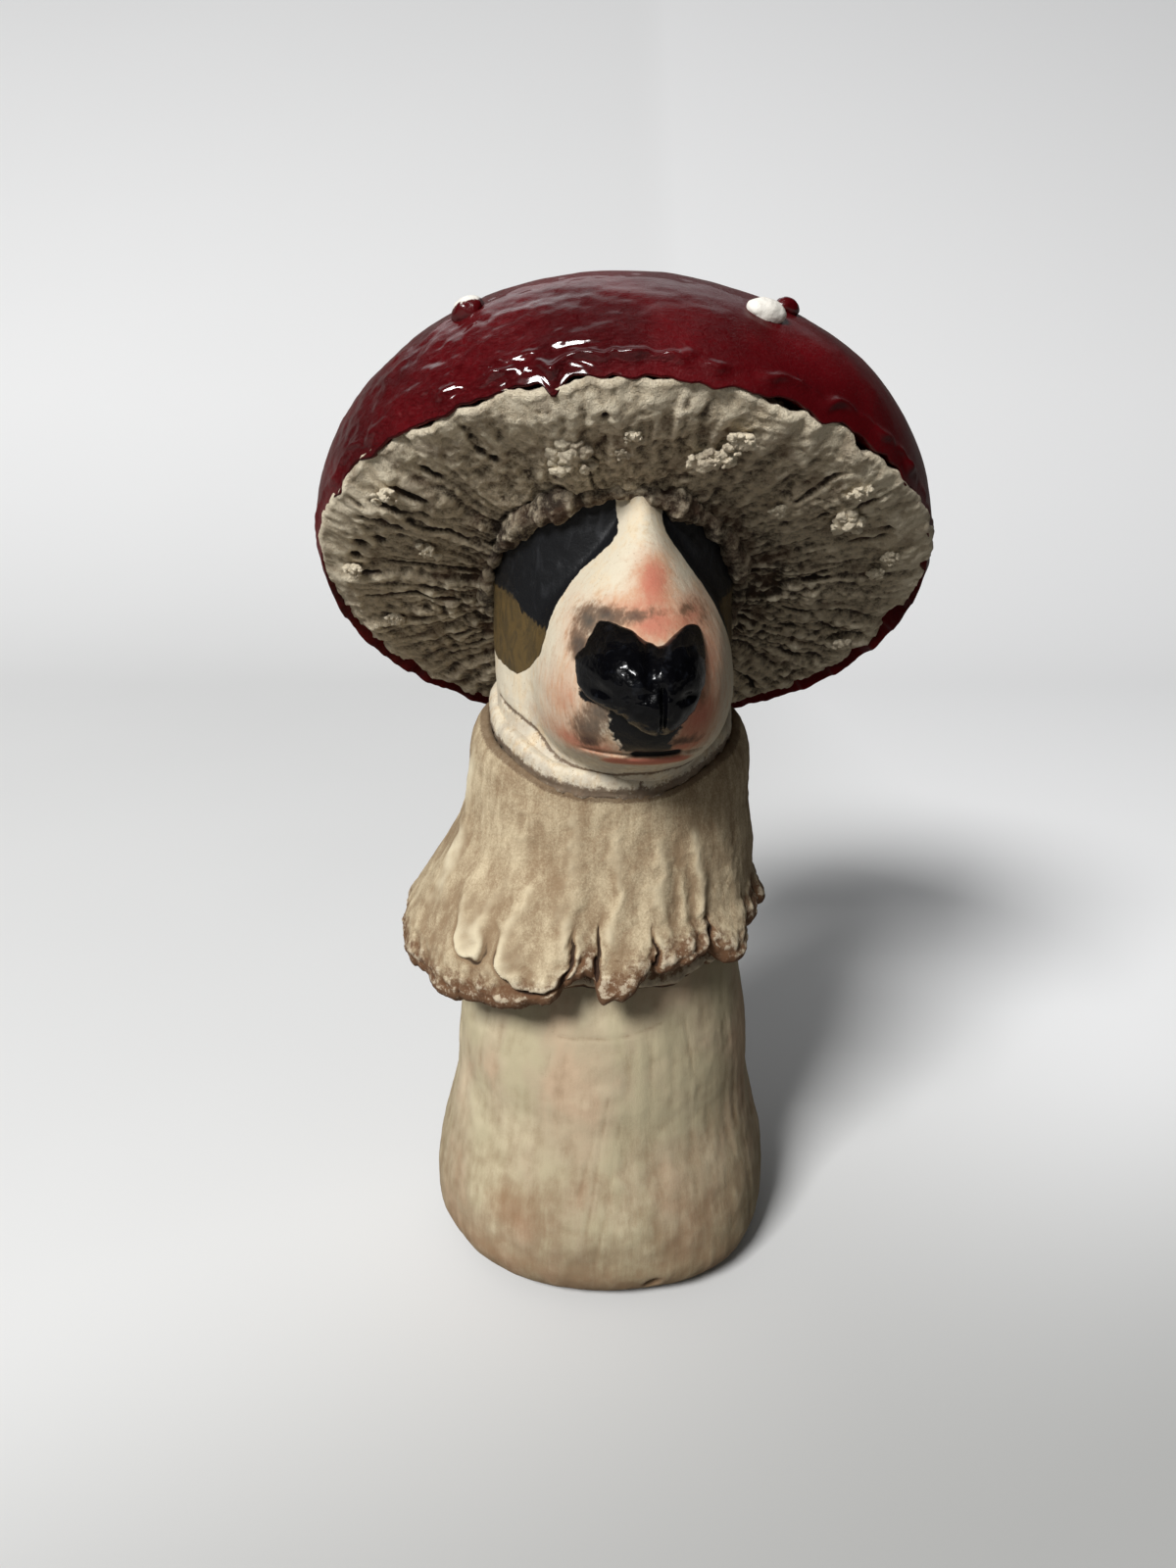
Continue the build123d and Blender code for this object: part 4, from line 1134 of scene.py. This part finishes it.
def neck_radius(angles):
    """Radius of the neck: 23.3 + 4.5 cos² of the angle in front of the axis."""
    return 23.3 + 4.5 * np.clip(np.cos(angles), 0, None) ** 2


def neck_seam(angles):
    """Height of the seam between neck and skirt at each angle from the front."""
    return through(NECK_SEAM, np.abs(np.degrees(angle_from(angles, 0))))

TONGUES = (
    (-92, 0.5, 0.3, 76.0), (-64, 0.4, 0.2, 73.0), (-41, 0.4, 0.2, 72.5), (-6.5, 0.8, 0.8, 86.0),
    (1.5, 1.9, 1.2, 87.5), (18.5, 1.5, 1.8, 85.5), (39.0, 1.7, 4.0, 86.0), (60.0, 0.9, 2.0, 88.0),
    (76.0, 1.1, 1.5, 84.0), (97.0, 1.2, 2.0, 83.0), (121.0, 1.0, 1.6, 84.0), (146.0, 1.2, 2.2, 83.0),
    (170.0, 1.0, 1.4, 84.0), (192.0, 1.3, 2.0, 83.0), (216.0, 1.0, 1.6, 82.0), (243.0, 1.1, 1.4, 80.0),
)

RAISED = (
    (-49.0, 91.0, -38.5, 80.0, 3.2, 0.9),
    (-20.0, 95.0, -16.5, 80.4, 7.0, 1.0),
    (52.0, 88.0, 50.0, 79.0, 4.0, 0.6),
)

SKIRT_OUTLINE = (
    (66.0, 37.2, 4.3),
    (72.0, 37.1, 4.3),
    (76.3, 36.4, 3.9),
    (80.7, 34.6, 3.3),
    (85.0, 32.4, 3.0),
    (89.5, 30.9, 1.9),
    (93.8, 29.5, 0.9),
    (98.0, 28.6, 0.5),
    (102.0, 28.0, 0.3),
    (107.0, 27.7, 0.0),
    (118.0, 27.5, 0.0),
)

RIDGES = (
    (-75, 106, -64, 86, 3.6, 0.70), (-32, 104, -36, 84, 2.2, 0.50), (-12, 104, -8, 84, 1.8, 0.45),
    (19, 100, 22, 80, 1.7, 0.70), (35, 100, 36, 79, 1.8, 0.75), (4, 102, 7, 84, 1.6, 0.50), (50, 102, 56, 84, 2.2, 0.5),
    (-23, 90, -27, 76, 1.6, 0.45), (27, 94, 29, 82, 1.4, 0.45),
)


def turn_and_height(line, angles, heights):
    """Distance in millimetres from a line on the surface that runs from one turn and height to another."""
    turn_from, level_from, turn_to, level_to = line
    middle = np.radians((turn_from + turn_to) / 2)
    across = angle_from(angles, middle) * 32
    start = np.array((np.radians(turn_from) - middle, 0)) * 32 + np.array((0, level_from))
    run = np.array((np.radians(turn_to - turn_from) * 32, level_to - level_from))
    share = ((across - start[0]) * run[0] + (heights - start[1]) * run[1]) / (run @ run)
    share = np.clip(share, 0, 1)
    return np.hypot(across - start[0] - share * run[0], heights - start[1] - share * run[1])


def tongue_fields(angles):
    """For each angle: height of the hem, how far the tongue there stands out, and its half-ellipse share."""
    degrees = np.degrees(angle_from(angles, 0))
    hem = through(HEM_LINE, degrees)
    proud = np.zeros_like(degrees)
    lobe = np.zeros_like(degrees)
    for index, (start, out, notch, _) in enumerate(TONGUES):
        end = TONGUES[(index + 1) % len(TONGUES)]
        width = (end[0] - start) % 360
        along = ((degrees - start) % 360) / width
        inside = along < 1
        across = np.clip(2 * along - 1, -1, 1)
        curve = np.sqrt(np.clip(1 - across**2, 0, 1))
        gap = np.where(across < 0, notch, end[2])
        hem = np.where(inside, hem + gap * (1 - curve), hem)
        proud = np.where(inside, out, proud)
        lobe = np.where(inside, curve, lobe)
    return hem, proud, lobe


def skirt_rows(shape):
    """Skirt: rings from the rolled crest down a flaring outline to a lumpy hem. Raised tongues lie on it as
    rounded strips that end in a step; thin cracks run up between the lobes of the hem, soft ridges above them.
    The hem turns by a half circle, and the inner wall runs back up."""
    angles = np.linspace(0, 2 * np.pi, 640, endpoint=False)[None, :]
    hem, proud, lobe = tongue_fields(angles)
    circle = around(angles, 36.0, 0.0)
    hem = hem + shape.hem_fall - 74.0 + 0.45 * rough(circle, 3.2, 3, 19)
    top = neck_seam(angles) + 0.4
    wall = 4.4
    down = np.linspace(0, 1, 134)[:, None]
    edge_height = hem + wall / 2
    heights = top - down * (top - edge_height)
    radii = np.interp(heights, [row[0] for row in SKIRT_OUTLINE], [row[1] for row in SKIRT_OUTLINE])
    shift = np.interp(heights, [row[0] for row in SKIRT_OUTLINE], [row[2] for row in SKIRT_OUTLINE])
    roll = np.sqrt(np.clip(1 - (np.clip(heights - top + 9.0, 0, None) / 9.0) ** 2, 0, 1))
    lip = neck_radius(angles) + 0.1
    radii = np.where(radii > lip, lip + (radii - lip) * roll, radii)
    ring = around(angles, radii, heights)
    near_hem = smooth_step(heights - hem, 12, 2)
    relief = near_hem * (proud * lobe - 0.4)
    relief += 0.55 * rough(ring, 13, 2, 21) * smooth_step(heights, 112, 98)
    relief += 0.30 * rough(ring * np.array((1, 1, 0.20)), 5.0, 2, 25) * smooth_step(heights, 108, 96)
    relief += 0.09 * rough(ring, 1.6, 2, 29)
    relief += near_hem * (0.70 * rough(ring, 4.2, 2, 31) + 0.36 * rough(ring, 1.6, 3, 33))
    # The worn field holds worn clay and painted highlight on the ridges, strongest on the left shoulder.
    worn = np.zeros_like(heights)
    sway = rough(ring, 7.0, 3, 35)
    for *line, width, high in RIDGES:
        ridge = bump_at(turn_and_height(line, angles + 0.04 * sway, heights), width * (1 + 0.35 * sway))
        relief += high * ridge * smooth_step(heights, line[1] + 4, line[1] - 4)
        worn = np.maximum(worn, ridge * high * (1.0 + sway) * (0.85 if width > 2.5 else 0.42))
    wander = 1.0 * rough(ring, 5.0, 3, 37)
    cracks = np.zeros_like(heights)
    for *line, width, high in RAISED:
        away = turn_and_height(line, angles, heights) + 0.8 * wander
        climb = smooth_step(heights, line[3] - width, line[1])
        edge = 0.9 + 5.0 * climb
        raised = smooth_step(away, width + edge / 2, width - edge / 2) * smooth_step(heights, line[1] + 2, line[1] - 6)
        relief += high * raised
        # A thin groove along each tongue's edge, painted near-black by the finish as the step's shade.
        rim = bump_at(away - width - 0.35, 0.40) * smooth_step(heights, line[3] + 3, line[3] - width * 0.5)
        cracks = np.maximum(cracks, 0.40 * rim * (0.6 + 0.8 * sway))
        worn = np.maximum(worn, raised * (1 - 0.8 * climb) * (0.55 if width < 3.5 else 0.25) * (1 + 0.5 * sway))
    for start, _, _, crack_top in TONGUES:
        line = (start + 1.0, crack_top, start, 66.0)
        away = turn_and_height(line, angles + wander / 32, heights)
        narrow = 0.20 + 0.35 * smooth_step(heights, crack_top, 74)
        cracks = np.maximum(cracks, bump_at(away, narrow) * smooth_step(heights, crack_top + 1.0, crack_top - 6))
    relief -= 1.5 * cracks
    radii = radii + relief
    outer = around(angles, radii, heights)
    outer[..., 0] -= shift
    half_turn = np.linspace(0.15, np.pi - 0.15, 12)[:, None]
    edge_radii = radii[-1:] - wall / 2 * (1 - np.cos(half_turn))
    under = around(angles, edge_radii, edge_height - wall / 2 * np.sin(half_turn))
    under[..., 0] -= shift[-1:]
    under = under + (0.45 * rough(under, 2.0, 3, 39) * np.sin(half_turn))[..., None] * np.array((0, 0, 1.0))
    back_up = np.linspace(0.03, 1, 8)[:, None]
    inner_heights = edge_height + back_up * (top - 1.5 - edge_height)
    inner_radii = np.interp(inner_heights, [row[0] for row in SKIRT_OUTLINE], [row[1] for row in SKIRT_OUTLINE]) - wall
    inner = around(angles, np.maximum(inner_radii, shape.seat_radius + 0.6), inner_heights)
    inner[..., 0] -= np.interp(inner_heights, [row[0] for row in SKIRT_OUTLINE], [row[2] for row in SKIRT_OUTLINE])
    rows = np.concatenate((outer, under, inner))
    # The inner wall and the turned hem carry fixed hollow values that darken them: painted shade under the skirt.
    hollow = np.full(rows.shape[:2], 0.8)
    hollow[: len(outer)] = sunk(relief, 3) * 1.8 + cracks * 1.2
    hollow[len(outer) : len(outer) + len(under)] = 0.35
    low = np.ones(rows.shape[:2])
    low[: len(outer)] = smooth_step(heights - hem, 12, 1)
    seam = np.zeros(rows.shape[:2])
    seam[: len(outer)] = smooth_step(top - heights, 2.6, 0.4)
    pale = np.zeros(rows.shape[:2])
    pale[: len(outer)] = worn
    return rows, {"hollow": hollow, "low": low, "seam": seam, "worn": pale}

HEM_LINE = (
    (-180, 72.0), (-150, 73.5), (-120, 72.0), (-90, 70.0), (-66, 67.9), (-57, 67.4), (-41, 67.3), (-30, 68.6),
    (-18, 70.0), (-9, 71.6), (-4, 75.6), (1, 75.4), (3, 72.8), (8, 72.7), (16, 74.4), (24, 76.2), (29, 76.6),
    (37, 77.0), (42, 75.4), (50, 74.6), (58, 75.6), (70, 78.0), (90, 76.0), (110, 73.5), (135, 74.5), (160, 72.5),
    (180, 72.0),
)


# Operators


class BuildPiece:
    """What the operators that build pieces share."""

    bl_options = {"REGISTER"}

    def settings(self, context):
        return in_millimetres(context.scene.mushroom_shape), context.scene.mushroom_colours


class MUSHROOM_OT_stem(BuildPiece, bpy.types.Operator):
    """Builds stem and foot as one scratched clay surface"""

    bl_idname = "mushroom.stem"
    bl_label = "Stem and foot"

    def execute(self, context):
        shape, colours = self.settings(context)
        rows, fields = stem_rows(shape)
        rows = leaning(rows, shape)
        rows[..., 2] = np.maximum(rows[..., 2], 0)
        piece = put_shell("stem_and_foot", rows, fields)
        dress(piece, stem_finish(colours), "stem_clay", "stem_wall", "foot_slab", "foot_seam_coil")
        return {"FINISHED"}


class MUSHROOM_OT_skirt(BuildPiece, bpy.types.Operator):
    """Builds the skirt with its tongues and the torn layer below it"""

    bl_idname = "mushroom.skirt"
    bl_label = "Skirt"

    def execute(self, context):
        shape, colours = self.settings(context)
        clay = skirt_finish(colours)
        rows, fields = skirt_rows(shape)
        piece = put_shell("skirt_tongues", leaning(rows, shape), fields, ring=True)
        dress(piece, clay, "skirt_clay", "skirt")
        rows, fields = underlayer_rows(shape)
        piece = put_shell("skirt_torn_layer", leaning(rows, shape), fields, ring=True)
        dress(piece, clay, "skirt_clay", "skirt_underlayer")
        return {"FINISHED"}


class MUSHROOM_OT_head(BuildPiece, bpy.types.Operator):
    """Builds head, muzzle and chin as one painted surface, with the slip band round the neck"""

    bl_idname = "mushroom.head"
    bl_label = "Head and muzzle"

    def execute(self, context):
        shape, colours = self.settings(context)
        face = head_paint(colours)
        rows, fields = head_rows(shape)
        piece = put_shell("head_and_muzzle", leaning(rows, shape), fields)
        dress(piece, face, "muzzle_paint", "head_tube", "muzzle", "lower_jaw")
        rows, fields = band_rows(shape)
        piece = put_shell("neck_slip_band", leaning(rows, shape), fields, ring=True)
        dress(piece, face, "band_paint", "neck_band")
        return {"FINISHED"}


class MUSHROOM_OT_nose(BuildPiece, bpy.types.Operator):
    """Builds the glazed nose pad"""

    bl_idname = "mushroom.nose"
    bl_label = "Nose"

    def execute(self, context):
        shape, colours = self.settings(context)
        piece = put_shell("nose_pad_glazed", leaning(nose_rows(shape), shape))
        dress(piece, nose_finish(colours), "nose_gloss", "nose")
        return {"FINISHED"}


class MUSHROOM_OT_gills(BuildPiece, bpy.types.Operator):
    """Builds the ridged gill plate, the roll of clay round the head and the crumbs"""

    bl_idname = "mushroom.gills"
    bl_label = "Gills"

    def execute(self, context):
        shape, colours = self.settings(context)
        clay = gill_finish(colours)
        rows, fields = plate_rows(shape)
        piece = put_shell("gill_plate_ridged", on_cap(rows, shape), fields)
        dress(piece, clay, "gill_clay", "gill_plate")
        rows, hollow = joint_rows(shape)
        # The joint lumps count as near the head and barely pale: wash and painted shade in the corner under the cap.
        fields = {"hollow": hollow, "edge": np.full_like(hollow, 0.1), "inner": np.full_like(hollow, 0.8)}
        piece = put_shell("joint_lumps", leaning(rows, shape), fields, ring=True)
        dress(piece, clay, "gill_clay", "joint_packing")
        lumps = crumb_lumps(shape)
        # The crumbs take the palest colour: painted highlight where they catch the lamp.
        fields = {"hollow": [-0.5] * len(lumps), "edge": [1.2] * len(lumps), "inner": [0.0] * len(lumps)}
        piece = put_lumps("gill_crumb_lumps", lumps, fields)
        dress(piece, clay, "crumb_clay", "gill_crumbs")
        return {"FINISHED"}


class MUSHROOM_OT_cap(BuildPiece, bpy.types.Operator):
    """Builds the painted dome of the cap"""

    bl_idname = "mushroom.cap"
    bl_label = "Cap dome"

    def execute(self, context):
        shape, colours = self.settings(context)
        rows, fields = dome_rows(shape)
        piece = put_shell("cap_dome_painted", on_cap(rows, shape), fields)
        dress(piece, cap_paint(colours), "cap_paint", "cap_dome", "socket_coil")
        return {"FINISHED"}


class MUSHROOM_OT_warts(BuildPiece, bpy.types.Operator):
    """Builds the warts on the cap"""

    bl_idname = "mushroom.warts"
    bl_label = "Warts"

    def execute(self, context):
        shape, colours = self.settings(context)
        finish = wart_finish(colours)
        for index, (name, azimuth, rise, wide, deep, high, white) in enumerate(WARTS):
            rows = lump((wide, deep, high), 26, 200 + 7 * index, 0.10)
            level = rows[..., 2] / high + 0.45 * rows[..., 1] / deep
            placed = on_dome(rows + np.array((0, 0, 0.2)), azimuth, rise, shape)
            piece = put_shell(name + "_dab", placed, {"white": level * 0.8 + white - 0.9})
            dress(piece, finish, "wart_paint", name)
        return {"FINISHED"}


class MUSHROOM_OT_stage(bpy.types.Operator):
    """Sets floor and backdrop, lamps and camera"""

    bl_idname = "mushroom.stage"
    bl_label = "Stage"

    def execute(self, context):
        scene = context.scene
        bend = np.linspace(0.03, radians(42.0), 20)
        along = np.concatenate((np.linspace(-1.6, 0.45, 24), 0.45 + 0.6 * np.sin(bend)))
        rise = np.concatenate((np.zeros(24), 0.6 * (1 - np.cos(bend))))
        run = np.linspace(0.1, 2.4, 10)
        along = np.concatenate((along, along[-1] + run * np.cos(bend[-1])))
        rise = np.concatenate((rise, rise[-1] + run * np.sin(bend[-1])))
        side = np.linspace(-2.4, 2.4, 30)
        rows = np.stack(np.broadcast_arrays(side[None, :], along[:, None], rise[:, None]), axis=-1)
        mesh = bpy.data.meshes.new("paper_sweep")
        grid = np.arange(rows.shape[0] * rows.shape[1]).reshape(rows.shape[:2])
        quads = np.stack((grid[:-1, :-1], grid[:-1, 1:], grid[1:, 1:], grid[1:, :-1]), axis=-1).reshape(-1, 4)
        mesh.from_pydata(rows.reshape(-1, 3).tolist(), [], quads.tolist())
        mesh.polygons.foreach_set("use_smooth", np.ones(len(mesh.polygons), dtype=bool))
        paper = bpy.data.objects.new("paper_sweep", mesh)
        context.collection.objects.link(paper)
        f = Finish("pale_paper")
        spread = f.node("ShaderNodeSeparateXYZ", {}, {0: f.place})
        across, along_way = (Field(f, spread.outputs[index]) for index in (0, 1))
        # Painted shade on the paper: darker towards the camera, most on the right.
        front = (along_way * -1 + across * 0.45).step(-0.03, 0.13)
        mottle = f.noise(160, 2).step(0.30, 0.70)
        base = f.mix(f.mix(paint(232, 232, 231), paint(230, 230, 229), mottle), paint(180, 180, 178), front)
        # Lighter far back, to keep the backdrop evenly bright, and painted light lifting the shade on the right of the
        # floor.
        base = f.mix(base, paint(250, 250, 250), (along_way.step(0.15, 0.95) * 0.7 + across.step(0.04, 0.16) * (1 - front)).least(1))
        seen = Field(f, f.node("ShaderNodeLightPath", {}, {}).outputs["Is Camera Ray"])
        base = f.mix(paint(132, 130, 126), base, seen)
        paper.data.materials.append(f.surface({"Base Color": base, "Roughness": 0.9, "Specular IOR Level": 0.2}))

        camera = bpy.data.objects.new("camera", bpy.data.cameras.new("camera"))
        camera.location = (-0.00256, -0.222, 0.182)
        camera.rotation_euler = (radians(70.0), 0, 0)
        camera.data.sensor_fit = "HORIZONTAL"
        camera.data.sensor_width = 36
        camera.data.lens = 36.06
        camera.data.clip_start = 0.01
        context.collection.objects.link(camera)
        scene.camera = camera

        lamp = bpy.data.objects.new("soft_key", bpy.data.lights.new("soft_key", "AREA"))
        azimuth, climb, distance = radians(-32.0), radians(42.0), 2.4
        towards = np.array((np.sin(azimuth) * np.cos(climb), -np.cos(azimuth) * np.cos(climb), np.sin(climb)))
        lamp.location = towards * distance + np.array((0, 0, 0.09))
        lamp.rotation_euler = (radians(90.0) - climb, 0, azimuth)
        lamp.data.shape = "RECTANGLE"
        lamp.data.size = 0.70
        lamp.data.size_y = 0.55
        lamp.data.energy = 69.0
        context.collection.objects.link(lamp)

        world = bpy.data.worlds.new("room_light")
        world.use_nodes = True
        tree = world.node_tree
        background = tree.nodes["Background"]
        background.inputs["Color"].default_value = (0.96, 0.98, 1.0, 1)
        direction = tree.nodes.new("ShaderNodeTexCoord")
        aim = tree.nodes.new("ShaderNodeVectorMath")
        aim.operation = "DOT_PRODUCT"
        aim.inputs[1].default_value = (-0.68, 0.02, 0.73)
        light = tree.nodes.new("ShaderNodeMapRange")
        light.inputs["From Min"].default_value = -0.10
        light.inputs["From Max"].default_value = 1.0
        light.inputs["To Max"].default_value = 0.38
        window = tree.nodes.new("ShaderNodeVectorMath")
        window.operation = "DOT_PRODUCT"
        window.inputs[1].default_value = (-0.06, 0.79, 0.61)
        gleam = tree.nodes.new("ShaderNodeMapRange")
        gleam.inputs["From Min"].default_value = 0.80
        gleam.inputs["To Max"].default_value = 1.60
        path = tree.nodes.new("ShaderNodeLightPath")
        strength = tree.nodes.new("ShaderNodeMix")
        tree.links.new(direction.outputs["Generated"], aim.inputs[0])
        tree.links.new(aim.outputs["Value"], light.inputs["Value"])
        tree.links.new(direction.outputs["Generated"], window.inputs[0])
        tree.links.new(window.outputs["Value"], gleam.inputs["Value"])
        tree.links.new(path.outputs["Is Glossy Ray"], strength.inputs[0])
        tree.links.new(light.outputs["Result"], strength.inputs[2])
        tree.links.new(gleam.outputs["Result"], strength.inputs[3])
        shown = tree.nodes.new("ShaderNodeMix")
        shown.inputs[3].default_value = 0.80
        tree.links.new(path.outputs["Is Camera Ray"], shown.inputs[0])
        tree.links.new(strength.outputs[0], shown.inputs[2])
        tree.links.new(shown.outputs[0], background.inputs["Strength"])
        scene.world = world
        scene.view_settings.view_transform = "Standard"
        return {"FINISHED"}


class MUSHROOM_PT_sidebar(bpy.types.Panel):
    """Lists the sizes, the colours and the operators"""

    bl_idname = "MUSHROOM_PT_sidebar"
    bl_label = "Ceramic Mushroom"
    bl_space_type = "VIEW_3D"
    bl_region_type = "UI"
    bl_category = "Mushroom"

    def draw(self, context):
        for group in (context.scene.mushroom_shape, context.scene.mushroom_colours):
            box = self.layout.box()
            for key in type(group).__annotations__:
                box.prop(group, key)
        for operator in OPERATORS:
            self.layout.operator(operator.bl_idname)


OPERATORS = (
    MUSHROOM_OT_stage,
    MUSHROOM_OT_stem,
    MUSHROOM_OT_skirt,
    MUSHROOM_OT_head,
    MUSHROOM_OT_nose,
    MUSHROOM_OT_gills,
    MUSHROOM_OT_cap,
    MUSHROOM_OT_warts,
)
CLASSES = (MushroomShape, MushroomColours, *OPERATORS, MUSHROOM_PT_sidebar)


def register():
    for cls in CLASSES:
        bpy.utils.register_class(cls)
    bpy.types.Scene.mushroom_shape = bpy.props.PointerProperty(type=MushroomShape)
    bpy.types.Scene.mushroom_colours = bpy.props.PointerProperty(type=MushroomColours)


def unregister():
    del bpy.types.Scene.mushroom_colours
    del bpy.types.Scene.mushroom_shape
    for cls in reversed(CLASSES):
        bpy.utils.unregister_class(cls)


def main():
    register()
    bpy.ops.mushroom.stage()
    bpy.ops.mushroom.stem()
    bpy.ops.mushroom.skirt()
    bpy.ops.mushroom.head()
    bpy.ops.mushroom.nose()
    bpy.ops.mushroom.gills()
    bpy.ops.mushroom.cap()
    bpy.ops.mushroom.warts()


if __name__ == "__main__":
    main()
